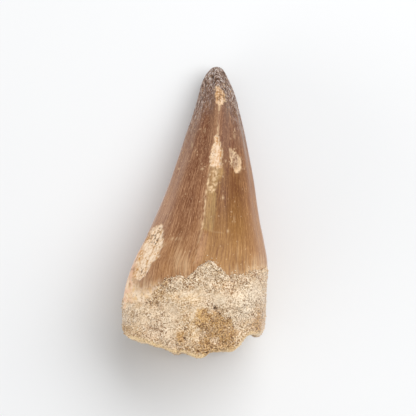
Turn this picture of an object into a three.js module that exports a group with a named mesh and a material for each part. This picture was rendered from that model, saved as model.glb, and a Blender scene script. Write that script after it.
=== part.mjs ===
// A fossil mosasaur tooth with sandy phosphate rock still cemented round its root.
//
// The tooth lies on its back, as it does when it is put down: +Y runs from the broken base to the
// tip, +X is to the right of someone who looks down on it, and +Z is up. Two solids: the tooth,
// which is crown and root in one, and the rock that its root sits in.
//
// Every length is in millimetres. The shape is worked out with y = 0 at the lowest point of the
// broken base and z = 0 at the surface it rests on. The group then moves it so that the origin is
// the middle of the footprint.

import * as THREE from "three";

// Driving dimensions of the crown.
const LENGTH = 58.6; // broken base to tip
const RIDGE_HEIGHT = 0.42; // cutting ridge, front and back
const RIDGE_WIDTH = 0.75; // half-width of that ridge
const BACK_LEAN = 0.4; // how far the back ridge follows the front one, as a share
const FLUTES = 11; // faint flats down the crown
const FLUTE_DEPTH = 0.1;
const APEX_FADE = 6; // ridges and flutes come up to full height this far from the tip
const APEX_LEAST = 0.15; // share of their height at the tip itself
const APEX_WRINKLES = 16; // coarse wrinkles that run down from the tip
const WRINKLE_HEIGHT = 0.13;
const WRINKLE_START = 1.5; // how far below the tip they begin
const WRINKLE_REACH = 13; // how far below the tip they fade out
const CHIP_DEPTH = 0.5; // enamel missing in a chip
const CHIP_SLOPE = 0.5; // width of the slope round a chip
const CHIP_REACH = -0.25; // chips stay where the sine of the turn is above this

// Driving dimensions of the root and its seat.
const SEAT_GAP = 0.35; // clearance between root and rock
const ROOT_INSET = 1.9; // how far the root steps in from the crown at the rock's rim
const ROOT_TAPER = 0.22; // how much further in the root goes for each mm below the rim
const ROOT_END = 6.2; // where the root stops inside the rock
const ROOT_BULGE = 1.4; // how far its end rounds out past that
const ROOT_END_RING = 0.55; // place of the ring between the end's edge and its middle, as a share

// Driving dimensions of the rock.
const CRUST = 0.12; // how far the rock stands proud of the crown at its rim
const RIM_THINNING = 3; // the rock thins over this height towards its rim
const RIM_THINNEST = 0.35; // share of its unevenness that is left there
const SIDE_CALM = 0.45; // share of the swell at the two sides; front and back have all of it
const GRIT = 0.13; // roughness of the rock from facet to facet
const GRIT_WAVE = [12.9, 78.2, 37.7]; // a wave this short gives each facet a height of its own
const EDGE_ROUND = 1.3; // rounding between the rock's side and its broken end
const EDGE_START = 0.86; // where that rounding starts, as a share of the way out
const END_MIDDLE = 4; // the broken end closes round the middle of the section at this height
const END_HOLLOW = 0.4; // how much further in the broken end lies than its edge

// Resolution of the faceted surfaces.
const AROUND = 64;
const CROWN_ROWS = 38;
const ROOT_ROWS = 4;
const WALL_ROWS = 14;
const END_ROWS = 8;
const TIP_CROWDING = 1.4; // above 1, rows crowd towards the tip
const EDGE_CROWDING = 1.25; // above 1, rings crowd towards the broken end's edge

// Stations along the tooth: y, left side, right side, underside, top.
const STATIONS = [
  [0.0, -14.5, 13.7, -0.6, 21.3],
  [5.4, -14.6, 13.9, -0.9, 21.6],
  [9.0, -14.5, 14.1, -1.0, 21.8],
  [12.6, -14.2, 14.3, -0.8, 21.8],
  [16.2, -13.4, 14.5, -0.3, 21.6],
  [19.8, -12.1, 14.4, 0.3, 20.9],
  [23.4, -10.3, 13.8, 0.8, 19.4],
  [27.0, -8.6, 13.1, 0.9, 17.6],
  [30.6, -7.0, 12.5, 0.8, 15.8],
  [34.2, -5.5, 12.0, 0.5, 14.2],
  [37.8, -4.2, 11.4, 0.2, 12.7],
  [41.4, -3.0, 10.7, 0.15, 11.4],
  [45.0, -1.8, 10.0, 0.3, 10.1],
  [48.4, -0.6, 9.2, 0.5, 8.9],
  [52.2, 0.6, 8.2, 0.8, 7.4],
  [55.2, 1.4, 7.1, 1.2, 6.1],
  [57.0, 2.3, 6.3, 1.6, 5.1],
  [58.2, 3.3, 5.5, 2.2, 4.1],
  [58.6, 4.4, 4.4, 3.1, 3.1],
];

// Where the front cutting ridge runs: y, x.
const RIDGE_LINE = [
  [0, 0.2], [18.8, 0.2], [21.8, 0.9], [25.4, 1.7], [28.8, 2.1], [33.8, 2.7],
  [37.8, 3.3], [40.8, 4.2], [46.8, 4.7], [52.8, 5.0], [56.8, 4.5], [58.6, 4.4],
];

// Height of the rock's rim, across the front: share of the half-width from -1, left, to 1, right.
const RIM_FRONT = [
  [-1.0, 11.6], [-0.87, 11.2], [-0.76, 11.3], [-0.66, 12.2], [-0.58, 13.6], [-0.5, 14.8],
  [-0.42, 15.7], [-0.33, 16.5], [-0.2, 16.6], [-0.11, 16.4], [-0.05, 17.3], [0.03, 18.6],
  [0.12, 19.3], [0.22, 19.5], [0.3, 19.1], [0.37, 18.0], [0.43, 16.9], [0.5, 16.8],
  [0.58, 17.2], [0.66, 17.0], [0.75, 17.4], [0.84, 17.9], [1.0, 17.9],
];

// The same across the back.
const RIM_BACK = [
  [-1.0, 11.6], [-0.8, 12.4], [-0.62, 14.6], [-0.45, 15.2], [-0.3, 14.2], [-0.12, 14.6],
  [0.05, 16.4], [0.22, 17.3], [0.4, 16.3], [0.55, 15.4], [0.72, 16.6], [0.87, 17.6], [1.0, 17.9],
];

// The broken end's lowest reach: x, y.
const BROKEN_EDGE = [
  [-14.6, 5.3], [-13.6, 4.2], [-11.3, 3.4], [-9.3, 2.7], [-7.6, 2.2], [-6.1, 1.7], [-4.8, 1.2],
  [-3.2, 0.8], [-2.4, 1.1], [-1.3, 0.7], [-0.2, 0.2], [1.1, 0], [2.2, 0.15], [3.1, 0.8],
  [4.6, 1.3], [6.1, 1.3], [7.6, 1.3], [8.7, 2.0], [9.6, 3.1], [10.3, 4.0], [11.1, 4.5],
  [12.4, 4.3], [13.4, 4.6], [14.1, 5.6],
];

// Chips in the enamel of the front. Each is a chain of discs: x, y, radius.
const CHIPS = [
  [[-7.4, 26.0, 0.5], [-8.0, 23.6, 1.4], [-9.2, 21.2, 1.9], [-10.6, 18.6, 1.7], [-11.4, 17.2, 0.9]],
  [[4.5, 44.4, 0.4], [4.6, 42.2, 1.1], [4.3, 39.6, 1.3]],
  [[7.4, 41.5, 0.6], [8.7, 40.0, 1.0], [9.1, 37.6, 0.8]],
  [[5.2, 54.0, 0.5], [5.3, 52.4, 0.9], [5.4, 51.4, 0.8]],
];

// Lumps and hollows of the rock's front and of its back: x, y, radius, height.
const FRONT_LUMPS = [
  [2.6, 17.0, 3.2, 0.45], [-3.6, 14.2, 2.6, 0.35], [10.2, 15.2, 3.0, 0.3], [-9.0, 7.0, 3.6, 0.4],
  [0.2, 10.6, 3.4, 0.5], [6.4, 11.4, 2.6, 0.35], [-4.6, 9.0, 1.8, -0.5], [4.3, 10.2, 1.1, -0.7],
  [5.4, 5.4, 3.4, -1.1], [8.6, 7.4, 2.2, -0.6], [12.0, 8.2, 2.4, 0.4], [-0.6, 3.4, 2.2, 0.45],
  [-12.2, 6.0, 1.2, -0.45], [-8.6, 12.0, 2.0, -0.35],
];
const BACK_LUMPS = [
  [-9.6, 9.4, 3.2, 0.5], [9.4, 7.2, 2.8, -0.9], [10.2, 13.4, 3.0, 0.5], [-7.2, 13.0, 2.2, -0.5],
  [-11.4, 5.8, 2.0, -0.5],
];

// Hollows of the broken end: x, z, radius, depth.
const END_HOLLOWS = [
  [4.0, 12.5, 3.6, 1.5], [-4.5, 8.0, 2.6, 0.9], [-8.5, 14.0, 2.4, 0.8], [9.0, 7.0, 2.2, 0.9],
  [-1.0, 17.5, 2.0, 0.7], [8.5, 15.5, 2.0, 0.6], [1.5, 4.5, 2.4, 0.6],
];

// Waves whose sum is the rock's uneven swell: direction x, y, z in radians per mm, phase, height.
const SWELL = [
  [0.61, 0.74, 0.32, 0.4, 0.2], [-0.83, 0.57, 0.71, 2.1, 0.17], [1.32, -0.64, 0.9, 4.0, 0.13],
  [0.38, 1.61, -1.12, 1.2, 0.12], [2.05, 1.18, 0.44, 5.1, 0.09], [-1.7, 2.2, 1.35, 3.3, 0.08],
];

const clamp = (v, low, high) => Math.min(high, Math.max(low, v));
const mix = (a, b, t) => a + (b - a) * t;
const bell = (d) => Math.exp(-d * d);

// A smooth curve through [at, value] pairs: a cubic between each two, with the slope at each point
// taken from its neighbours.
function curve(pairs, at) {
  const last = pairs.length - 1;
  const x = clamp(at, pairs[0][0], pairs[last][0]);
  let i = 0;
  while (i < last - 1 && x > pairs[i + 1][0]) i++;
  const slope = (k) => {
    const a = pairs[Math.max(k - 1, 0)];
    const b = pairs[Math.min(k + 1, last)];
    return (b[1] - a[1]) / (b[0] - a[0]);
  };
  const [x0, y0] = pairs[i];
  const [x1, y1] = pairs[i + 1];
  const h = x1 - x0;
  const t = (x - x0) / h;
  const t2 = t * t;
  const t3 = t2 * t;
  return (
    (2 * t3 - 3 * t2 + 1) * y0 + (t3 - 2 * t2 + t) * h * slope(i) +
    (3 * t2 - 2 * t3) * y1 + (t3 - t2) * h * slope(i + 1)
  );
}

// Near the tip every size grows with the square root of the distance from it, so the stations are
// joined along that root: the tip then comes out round.
const fromTip = (y) => Math.sqrt(Math.max(LENGTH - y, 0));
const column = (n) => STATIONS.map((s) => [-fromTip(s[0]), s[n]]);
const [LEFT, RIGHT, UNDER, TOP] = [1, 2, 3, 4].map(column);

// Half-sizes and centre of the outline at y.
function section(y) {
  const at = -fromTip(y);
  const left = curve(LEFT, at);
  const right = curve(RIGHT, at);
  const under = curve(UNDER, at);
  const top = curve(TOP, at);
  return {
    x: (left + right) / 2,
    z: (under + top) / 2,
    halfX: (right - left) / 2,
    halfZ: (top - under) / 2,
  };
}

// A point of the cross-section at y. turn is the angle round it, from +X through +Z. inset shrinks
// the section and swell moves the point out. The line at a quarter turn follows the ridge.
function ringPoint(turn, y, inset = 0, swell = 0) {
  const s = section(y);
  const c = Math.cos(turn);
  const n = Math.sin(turn);
  const lean = (curve(RIDGE_LINE, y) - s.x) * n * n * (n > 0 ? 1 : BACK_LEAN);
  const radius = Math.hypot(s.halfX * c, s.halfZ * n);
  const grow = radius > 0 ? 1 + swell / Math.max(radius, Math.abs(swell)) : 1;
  return [
    s.x + lean + (s.halfX * grow - inset) * c,
    y,
    s.z + (s.halfZ * grow - inset) * n,
  ];
}

// Nothing reaches below the surface that the tooth rests on, which leaves small flat spots there.
const onTable = ([x, y, z]) => [x, y, Math.max(z, 0)];

const rim = (turn) => curve(Math.sin(turn) >= 0 ? RIM_FRONT : RIM_BACK, Math.cos(turn));

// How much of a chip covers (x, y): 1 inside, 0 outside, with a short slope between.
function chipCover(x, y) {
  let nearest = Infinity;
  for (const chain of CHIPS) {
    for (let i = 0; i < chain.length - 1; i++) {
      const [ax, ay, ar] = chain[i];
      const [bx, by, br] = chain[i + 1];
      const span = (bx - ax) ** 2 + (by - ay) ** 2;
      const t = clamp(((x - ax) * (bx - ax) + (y - ay) * (by - ay)) / span, 0, 1);
      const d = Math.hypot(x - mix(ax, bx, t), y - mix(ay, by, t)) - mix(ar, br, t);
      nearest = Math.min(nearest, d);
    }
  }
  return clamp(0.5 - nearest / CHIP_SLOPE, 0, 1);
}

// The crown's surface: section, cutting ridges, faint flutes, and chips taken out.
function crownPoint(turn, y) {
  const below = LENGTH - y;
  const side = Math.abs(section(y).halfX * Math.cos(turn));
  const fade = clamp(below / APEX_FADE, APEX_LEAST, 1);
  const ridge = RIDGE_HEIGHT * bell(side / RIDGE_WIDTH) * fade;
  const flute = FLUTE_DEPTH * Math.cos(FLUTES * turn) * fade;
  const nearTip = clamp(1 - below / WRINKLE_REACH, 0, 1) * clamp(below / WRINKLE_START, 0, 1);
  const wrinkle = WRINKLE_HEIGHT * nearTip * Math.cos(APEX_WRINKLES * turn);
  const [x] = ringPoint(turn, y);
  const chip = Math.sin(turn) > CHIP_REACH ? CHIP_DEPTH * chipCover(x, y) : 0;
  return onTable(ringPoint(turn, y, 0, ridge + flute + wrinkle - chip));
}

// The swell of the rock at a point, and the fine grit on it.
function swellAt(x, y, z, calm = 1) {
  const [gx, gy, gz] = GRIT_WAVE;
  let height = GRIT * Math.sin(gx * x + gy * y + gz * z);
  for (const [kx, ky, kz, phase, size] of SWELL) {
    height += calm * size * Math.sin(kx * x + ky * y + kz * z + phase);
  }
  return height;
}

// The sum of lumps at (a, b), each a bell of its own radius and height.
const lumpsAt = (lumps, a, b) =>
  lumps.reduce((sum, [la, lb, radius, height]) => {
    return sum + height * bell(Math.hypot(a - la, b - lb) / radius);
  }, 0);

// The rock's outer surface above its broken end.
function rockPoint(turn, y) {
  const n = Math.sin(turn);
  const [x, , z] = ringPoint(turn, y);
  const swell = swellAt(x, y, z, mix(SIDE_CALM, 1, n * n));
  const lumps = Math.abs(n) * lumpsAt(n > 0 ? FRONT_LUMPS : BACK_LUMPS, x, y);
  const thick = mix(RIM_THINNEST, 1, clamp((rim(turn) - y) / RIM_THINNING, 0, 1));
  return onTable(ringPoint(turn, y, 0, CRUST + thick * (swell + lumps)));
}

// The broken end, as rings that close in: share is 1 at the rock's side and 0 in the middle.
function endPoint(turn, share) {
  const reach = (x) => curve(BROKEN_EDGE, x);
  const [edgeX, , edgeZ] = rockPoint(turn, EDGE_ROUND + reach(ringPoint(turn, END_MIDDLE)[0]));
  const middle = section(END_MIDDLE);
  const x = mix(middle.x, edgeX, share);
  const z = mix(middle.z, edgeZ, share);
  const over = clamp((share - EDGE_START) / (1 - EDGE_START), 0, 1);
  const round = EDGE_ROUND * (1 - Math.sqrt(1 - over * over));
  const rough = END_HOLLOW + swellAt(x, 0, z) + lumpsAt(END_HOLLOWS, x, z);
  return onTable([x, reach(x) + round + Math.max(rough, 0) * (1 - over), z]);
}

// The root below the rim, drop from 0 at the rim to 1 at its end. grow widens it for its seat.
function rootPoint(turn, drop, grow = 0) {
  const top = rim(turn) + (grow ? 0 : SEAT_GAP);
  const y = mix(top, ROOT_END, drop);
  const inset = ROOT_INSET + ROOT_TAPER * (top - y) - grow;
  return ringPoint(turn, y, inset);
}

// The root's rounded end, share from 1 at its edge to 0 on its axis.
function rootEndPoint(turn, share, grow = 0) {
  const [edgeX, , edgeZ] = rootPoint(turn, 1, grow);
  const middle = section(ROOT_END);
  const bulge = ROOT_BULGE * (1 - share * share);
  return [mix(middle.x, edgeX, share), ROOT_END - grow - bulge, mix(middle.z, edgeZ, share)];
}

// Joins rings of points into one closed surface. Each ring is a function of the turn; a ring with
// pole true is a single point. Rings run so that the faces point out.
function closedSkin(rings) {
  const positions = [];
  const starts = rings.map(({ point, pole }) => {
    const start = positions.length / 3;
    const count = pole ? 1 : AROUND;
    for (let i = 0; i < count; i++) positions.push(...point((i / AROUND) * 2 * Math.PI));
    return start;
  });
  const faces = [];
  for (let r = 0; r < rings.length - 1; r++) {
    const [upper, lower] = [rings[r], rings[r + 1]];
    for (let i = 0; i < AROUND; i++) {
      const j = (i + 1) % AROUND;
      const a = starts[r] + (upper.pole ? 0 : i);
      const b = starts[r] + (upper.pole ? 0 : j);
      const c = starts[r + 1] + (lower.pole ? 0 : j);
      const d = starts[r + 1] + (lower.pole ? 0 : i);
      if (!upper.pole) faces.push(a, b, c);
      if (!lower.pole) faces.push(a, c, d);
    }
  }
  const geometry = new THREE.BufferGeometry();
  geometry.setAttribute("position", new THREE.Float32BufferAttribute(positions, 3));
  geometry.setIndex(faces);
  geometry.computeVertexNormals();
  return geometry;
}

// Even steps from first / count up to 1.
const steps = (count, first = 0) =>
  Array.from({ length: count + 1 - first }, (_, i) => (i + first) / count);

// Crown and root as one solid, from the tip down.
function toothGeometry() {
  const crown = steps(CROWN_ROWS, 1).map((f) => ({
    point: (turn) => {
      const low = rim(turn) + SEAT_GAP;
      return crownPoint(turn, LENGTH - (LENGTH - low) * f ** TIP_CROWDING);
    },
  }));
  const root = steps(ROOT_ROWS).map((drop) => ({ point: (turn) => rootPoint(turn, drop) }));
  return closedSkin([
    { pole: true, point: () => crownPoint(0, LENGTH) },
    ...crown,
    ...root,
    { point: (turn) => rootEndPoint(turn, ROOT_END_RING) },
    { pole: true, point: () => rootEndPoint(0, 0) },
  ]);
}

// The rock: out of its seat over the rim, down its side, and across the broken end.
function rockGeometry() {
  const seat = steps(ROOT_ROWS)
    .reverse()
    .map((drop) => ({ point: (turn) => rootPoint(turn, drop, SEAT_GAP) }));
  const wall = steps(WALL_ROWS).map((f) => ({
    point: (turn) => {
      const [, low] = endPoint(turn, 1);
      return rockPoint(turn, mix(rim(turn), low, f));
    },
  }));
  const end = steps(END_ROWS, 1).map((f) => ({
    pole: f === 1,
    point: (turn) => endPoint(turn, 1 - f ** EDGE_CROWDING),
  }));
  return closedSkin([
    { pole: true, point: () => rootEndPoint(0, 0, SEAT_GAP) },
    { point: (turn) => rootEndPoint(turn, ROOT_END_RING, SEAT_GAP) },
    ...seat,
    ...wall,
    ...end,
  ]);
}

const enamel = new THREE.MeshStandardMaterial({ color: 0x966a48, roughness: 0.35, metalness: 0 });
const sandyRock = new THREE.MeshStandardMaterial({ color: 0xd8be9c, roughness: 0.95, metalness: 0 });

const tooth = new THREE.Mesh(toothGeometry(), enamel);
tooth.name = "tooth";

const rock = new THREE.Mesh(rockGeometry(), sandyRock);
rock.name = "rock_matrix";

// The origin is the middle of the footprint, on the surface the tooth rests on.
const group = new THREE.Group();
group.add(tooth, rock);
const extent = new THREE.Box3().setFromObject(group);
const middle = extent.getCenter(new THREE.Vector3());
group.position.set(-middle.x, -middle.y, 0);

export default group;
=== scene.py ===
"""Looks of a fossil mosasaur tooth in sandy rock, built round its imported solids.

Blender runs this file as a script. It is laid out as an add-on: sizes and colours are properties
that the 3D view's sidebar shows, and each piece has an operator of its own. Shapes are worked out
in millimetres, with y = 0 at the lowest point of the broken base, +Y towards the tip and +Z up,
and are moved to the frame's place and to metres when they become meshes.
"""

import math

import bpy
import numpy as np
from bpy.props import FloatProperty, FloatVectorProperty, IntProperty, PointerProperty
from bpy.types import Operator, Panel, PropertyGroup
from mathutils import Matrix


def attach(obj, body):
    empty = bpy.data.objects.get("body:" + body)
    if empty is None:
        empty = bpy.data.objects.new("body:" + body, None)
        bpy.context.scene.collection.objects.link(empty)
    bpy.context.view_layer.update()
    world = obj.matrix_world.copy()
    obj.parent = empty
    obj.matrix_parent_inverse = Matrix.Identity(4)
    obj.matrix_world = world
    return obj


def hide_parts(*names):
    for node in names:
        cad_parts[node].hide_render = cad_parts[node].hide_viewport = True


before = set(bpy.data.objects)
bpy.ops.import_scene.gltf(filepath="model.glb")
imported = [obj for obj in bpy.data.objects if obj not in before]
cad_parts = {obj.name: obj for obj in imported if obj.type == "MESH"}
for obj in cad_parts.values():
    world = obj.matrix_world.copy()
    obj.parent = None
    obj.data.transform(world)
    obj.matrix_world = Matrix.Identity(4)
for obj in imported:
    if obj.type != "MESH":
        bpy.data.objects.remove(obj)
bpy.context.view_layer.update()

bl_info = {
    "name": "Fossil Mosasaur Tooth",
    "version": (1, 0, 0),
    "blender": (4, 5, 0),
    "location": "3D View > Sidebar > Tooth",
    "description": "Builds the finished surfaces of a fossil tooth in sandy rock",
    "category": "Mesh",
}

MM = 0.001
PRIMES = np.array([73856093, 19349663, 83492791])  # for the three indices of a lattice cell
SEED_STEP, STIR, WORD = 2654435761, 0x45D9F3B, 0xFFFFFFFF  # and for stirring them in 32 bits

# ---- Driving shape, in millimetres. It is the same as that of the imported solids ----

LENGTH = 58.6
TIP = (4.4, 58.6)
LEAST = 1e-6  # keeps a division from being by nothing
BACK_LEAN = 0.4  # how much of the ridge's sideways lean the back follows

# Stations along the tooth: y, left side, right side, underside, top.
STATIONS = [
    (0.0, -14.5, 13.7, -0.6, 21.3), (5.4, -14.6, 13.9, -0.9, 21.6), (9.0, -14.5, 14.1, -1.0, 21.8),
    (12.6, -14.2, 14.3, -0.8, 21.8), (16.2, -13.4, 14.5, -0.3, 21.6),
    (19.8, -12.1, 14.4, 0.3, 20.9), (23.4, -10.3, 13.8, 0.8, 19.4), (27.0, -8.6, 13.1, 0.9, 17.6),
    (30.6, -7.0, 12.5, 0.8, 15.8), (34.2, -5.5, 12.0, 0.5, 14.2), (37.8, -4.2, 11.4, 0.2, 12.7),
    (41.4, -3.0, 10.7, 0.15, 11.4), (45.0, -1.8, 10.0, 0.3, 10.1), (48.4, -0.6, 9.2, 0.5, 8.9),
    (52.2, 0.6, 8.2, 0.8, 7.4), (55.2, 1.4, 7.1, 1.2, 6.1), (57.0, 2.3, 6.3, 1.6, 5.1),
    (58.2, 3.3, 5.5, 2.2, 4.1), (58.6, 4.4, 4.4, 3.1, 3.1),
]
Y, LEFT, RIGHT, UNDER, TOP = range(5)  # the columns of STATIONS

# Where the front cutting ridge runs: y, x.
RIDGE_LINE = [
    (0, 0.2), (18.8, 0.2), (21.8, 0.9), (25.4, 1.7), (28.8, 2.1), (33.8, 2.7), (37.8, 3.3),
    (40.8, 4.2), (46.8, 4.7), (52.8, 5.0), (56.8, 4.5), (58.6, 4.4),
]

# Height of the rock's rim: share of the half-width from -1, left, to 1, right, and y.
RIM_FRONT = [
    (-1.0, 11.6), (-0.87, 11.2), (-0.76, 11.3), (-0.66, 12.2), (-0.58, 13.6), (-0.5, 14.8),
    (-0.42, 15.7), (-0.33, 16.5), (-0.2, 16.6), (-0.11, 16.4), (-0.05, 17.3), (0.03, 18.6),
    (0.12, 19.3), (0.22, 19.5), (0.3, 19.1), (0.37, 18.0), (0.43, 16.9), (0.5, 16.8), (0.58, 17.2),
    (0.66, 17.0), (0.75, 17.4), (0.84, 17.9), (1.0, 17.9),
]
RIM_BACK = [
    (-1.0, 11.6), (-0.8, 12.4), (-0.62, 14.6), (-0.45, 15.2), (-0.3, 14.2), (-0.12, 14.6),
    (0.05, 16.4), (0.22, 17.3), (0.4, 16.3), (0.55, 15.4), (0.72, 16.6), (0.87, 17.6), (1.0, 17.9),
]

# The rim's ragged edge, as noises: height, size, seed.
RIM_NOISE = [(0.34, 1.1, 11), (0.2, 0.4, 12)]

# The broken end's lowest reach: x, y.
BROKEN_EDGE = [
    (-14.6, 5.3), (-13.6, 4.2), (-11.3, 3.4), (-9.3, 2.7), (-7.6, 2.2), (-6.1, 1.7), (-4.8, 1.2),
    (-3.2, 0.8), (-2.4, 1.1), (-1.3, 0.7), (-0.2, 0.2), (1.1, 0), (2.2, 0.15), (3.1, 0.8),
    (4.6, 1.3), (6.1, 1.3), (7.6, 1.3), (8.7, 2.0), (9.6, 3.1), (10.3, 4.0), (11.1, 4.5),
    (12.4, 4.3), (13.4, 4.6), (14.1, 5.6),
]

# Lumps and hollows of the rock's front and of its back: x, y, radius, height.
FRONT_LUMPS = [
    (2.6, 17.0, 3.2, 0.45), (-3.6, 14.2, 2.6, 0.35), (10.2, 15.2, 3.0, 0.3), (-9.0, 7.0, 3.6, 0.4),
    (0.2, 10.6, 3.4, 0.5), (6.4, 11.4, 2.6, 0.35), (-4.6, 9.0, 1.8, -0.5), (4.3, 10.2, 1.1, -0.7),
    (5.4, 5.4, 3.4, -1.1), (8.6, 7.4, 2.2, -0.6), (12.0, 8.2, 2.4, 0.4), (-0.6, 3.4, 2.2, 0.45),
    (-12.2, 6.0, 1.2, -0.45), (-8.6, 12.0, 2.0, -0.35),
]
BACK_LUMPS = [
    (-9.6, 9.4, 3.2, 0.5), (9.4, 7.2, 2.8, -0.9), (10.2, 13.4, 3.0, 0.5), (-7.2, 13.0, 2.2, -0.5),
    (-11.4, 5.8, 2.0, -0.5),
]

# Hollows of the broken end: x, z, radius, depth.
END_HOLLOWS = [
    (4.0, 12.5, 3.6, 1.5), (-4.5, 8.0, 2.6, 0.9), (-8.5, 14.0, 2.4, 0.8), (9.0, 7.0, 2.2, 0.9),
    (-1.0, 17.5, 2.0, 0.7), (8.5, 15.5, 2.0, 0.6), (1.5, 4.5, 2.4, 0.6),
]

# Waves whose sum is the rock's uneven swell: direction x, y, z in radians per mm, phase, height.
SWELL = [
    (0.61, 0.74, 0.32, 0.4, 0.2), (-0.83, 0.57, 0.71, 2.1, 0.17), (1.32, -0.64, 0.9, 4.0, 0.13),
    (0.38, 1.61, -1.12, 1.2, 0.12), (2.05, 1.18, 0.44, 5.1, 0.09), (-1.7, 2.2, 1.35, 3.3, 0.08),
]

# ---- Places on the front of the tooth, in millimetres. Outlines are corners: x, y ----

LEFT_CHIP = [
    (-6.6, 27.1), (-6.15, 25.6), (-6.2, 24.1), (-6.5, 22.9), (-6.9, 21.9), (-7.05, 20.7),
    (-8.2, 19.6), (-8.9, 18.4), (-10.0, 16.7), (-11.0, 16.0), (-12.2, 16.4), (-11.9, 18.4),
    (-11.3, 20.6), (-10.3, 22.4), (-9.6, 24.0), (-8.4, 25.6), (-7.5, 26.7),
]
RIDGE_CHIP = [
    (4.4, 44.7), (4.7, 44.2), (5.1, 43.1), (5.3, 42.3), (5.6, 41.7), (5.5, 40.1), (5.6, 38.8),
    (5.5, 38.0), (4.4, 38.3), (3.3, 38.6), (3.05, 39.4), (3.3, 40.8), (3.5, 42.3), (3.9, 43.2),
    (4.2, 44.2),
]
RIGHT_CHIP = [
    (6.9, 41.85), (7.7, 41.7), (8.5, 41.1), (9.15, 40.4), (9.15, 39.4), (9.4, 38.4), (9.3, 37.7),
    (8.8, 37.2), (8.2, 37.2), (8.1, 37.8), (7.5, 38.4), (7.2, 39.2), (7.3, 40.2), (6.9, 41.0),
]
TIP_CHIP = [
    (4.4, 54.5), (5.1, 54.4), (5.7, 53.4), (6.3, 51.9), (5.6, 51.0), (4.9, 50.9), (4.25, 51.6),
    (4.15, 52.8),
]

# Chips: outline, how deep it is and how bare its floor, both as a share.
CHIPS = [
    (LEFT_CHIP, 1, 1), (RIDGE_CHIP, 0.9, 0.8), (RIGHT_CHIP, 0.5, 0.25), (TIP_CHIP, 0.6, 0.75),
]

# Where the ridge is worn, the golden stripe and the streak below it, and the bare neck.
WORN_RIDGE = [
    (2.9, 38.6), (5.7, 38.2), (5.8, 37.2), (4.8, 35.8), (4.4, 34.0), (3.7, 33.2), (2.4, 33.4),
    (2.4, 34.8), (2.8, 36.4),
]
STRIPE = [
    (2.4, 33.6), (2.35, 31.8), (2.1, 29.8), (1.8, 28.2), (1.6, 26.0), (3.7, 25.5), (3.9, 26.6),
    (4.1, 28.4), (4.4, 30.7), (4.4, 32.9), (4.0, 33.8),
]
LOWER_STREAK = [
    (1.5, 24.9), (2.7, 25.2), (2.3, 22.4), (1.4, 19.9), (0.2, 19.2), (0.6, 22.0),
]
BARE_NECK = [
    (-17.0, 22.4), (-11.7, 22.4), (-12.5, 19.0), (-12.9, 16.6), (-12.0, 14.6), (-10.6, 13.5),
    (-9.4, 13.7), (-8.2, 14.1), (-7.0, 14.6), (-5.5, 13.6), (-8.0, 10.5), (-11.2, 9.0),
    (-17.0, 9.0),
]


# ---- Arithmetic on whole arrays ----


def mix(a, b, share):
    """From a at share 0 to b at share 1, in a straight line."""
    return a + (b - a) * share


def clip(value):
    """The value, held between 0 and 1."""
    return np.clip(value, 0.0, 1.0)


def bell(distance):
    """e to the power of minus the distance squared: 1 at 0 and near 0 past 2."""
    return np.exp(-distance * distance)


def ease(value):
    """3t² - 2t³ of the value held between 0 and 1: it starts and ends level."""
    t = clip(value)
    return t * t * (3 - 2 * t)


def between(value, low, high, rise, fall):
    """1 from low + rise to high - fall, easing to 0 at low and at high."""
    return ease((value - low) / rise) * ease((high - value) / fall)


def curve(pairs, at):
    """A cubic between each two (at, value) pairs, with the slope at each pair taken from the line
    through its neighbours. Outside the pairs, the value at the end."""
    keys, values = np.array(pairs, float).T
    count = np.arange(len(keys))
    before, after = np.maximum(count - 1, 0), np.minimum(count + 1, count[-1])
    slopes = (values[after] - values[before]) / (keys[after] - keys[before])
    x = np.clip(at, keys[0], keys[-1])
    i = np.clip(np.searchsorted(keys, x, side="right") - 1, 0, len(keys) - 2)
    span = keys[i + 1] - keys[i]
    t = (x - keys[i]) / span
    return (
        (2 * t**3 - 3 * t**2 + 1) * values[i]
        + (t**3 - 2 * t**2 + t) * span * slopes[i]
        + (3 * t**2 - 2 * t**3) * values[i + 1]
        + (t**3 - t**2) * span * slopes[i + 1]
    )


def hashed(cells, seed):
    """A number from 0 to 1 for each lattice cell: its three indices, weighted by large primes and
    summed with the seed, then shifted on itself and multiplied twice, all in 32 bits."""
    h = (cells.astype(np.int64) @ PRIMES + seed * SEED_STEP) & WORD
    for _ in range(2):
        h = (((h >> 16) ^ h) * STIR) & WORD
    return ((h >> 16) ^ h) / WORD


def noise(points, size, seed):
    """Smooth noise from -1 to 1: random values on a lattice with cells of that size, blended
    between the eight corners round each point by 3t² - 2t³ along each axis."""
    p = points / size
    cell = np.floor(p)
    t = ease(p - cell)
    total = np.zeros(p.shape[:-1])
    for corner in np.ndindex(2, 2, 2):
        weight = np.where(np.array(corner) == 1, t, 1 - t).prod(axis=-1)
        total += weight * hashed(cell + corner, seed)
    return 2 * total - 1


def uneven(points, noises, base=0.0):
    """The base plus noises, each given as height, size and seed."""
    return sum((height * noise(points, size, seed) for height, size, seed in noises), base)


def layered(points, size, octaves, seed):
    """Noise plus half as much noise at half the size, and so on, brought back to -1 to 1."""
    shares = 0.5 ** np.arange(octaves)
    total = sum(s * noise(points, size * s, seed + k) for k, s in enumerate(shares))
    return total / shares.sum()


def scattered(points, size, seed):
    """Distance to the nearest of scattered centres, in units of size, and a random number for that
    centre. Each lattice cell of that size has one centre."""
    p = points / size
    base = np.floor(p)
    near = np.full(p.shape[:-1], np.inf)
    tag = np.zeros(p.shape[:-1])
    for step in np.ndindex(3, 3, 3):
        cell = base + step - 1
        centre = cell + np.stack([hashed(cell, seed + k) for k in range(3)], axis=-1)
        distance = np.linalg.norm(p - centre, axis=-1)
        tag = np.where(distance < near, hashed(cell, seed + 3), tag)
        near = np.minimum(near, distance)
    return near, tag


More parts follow.
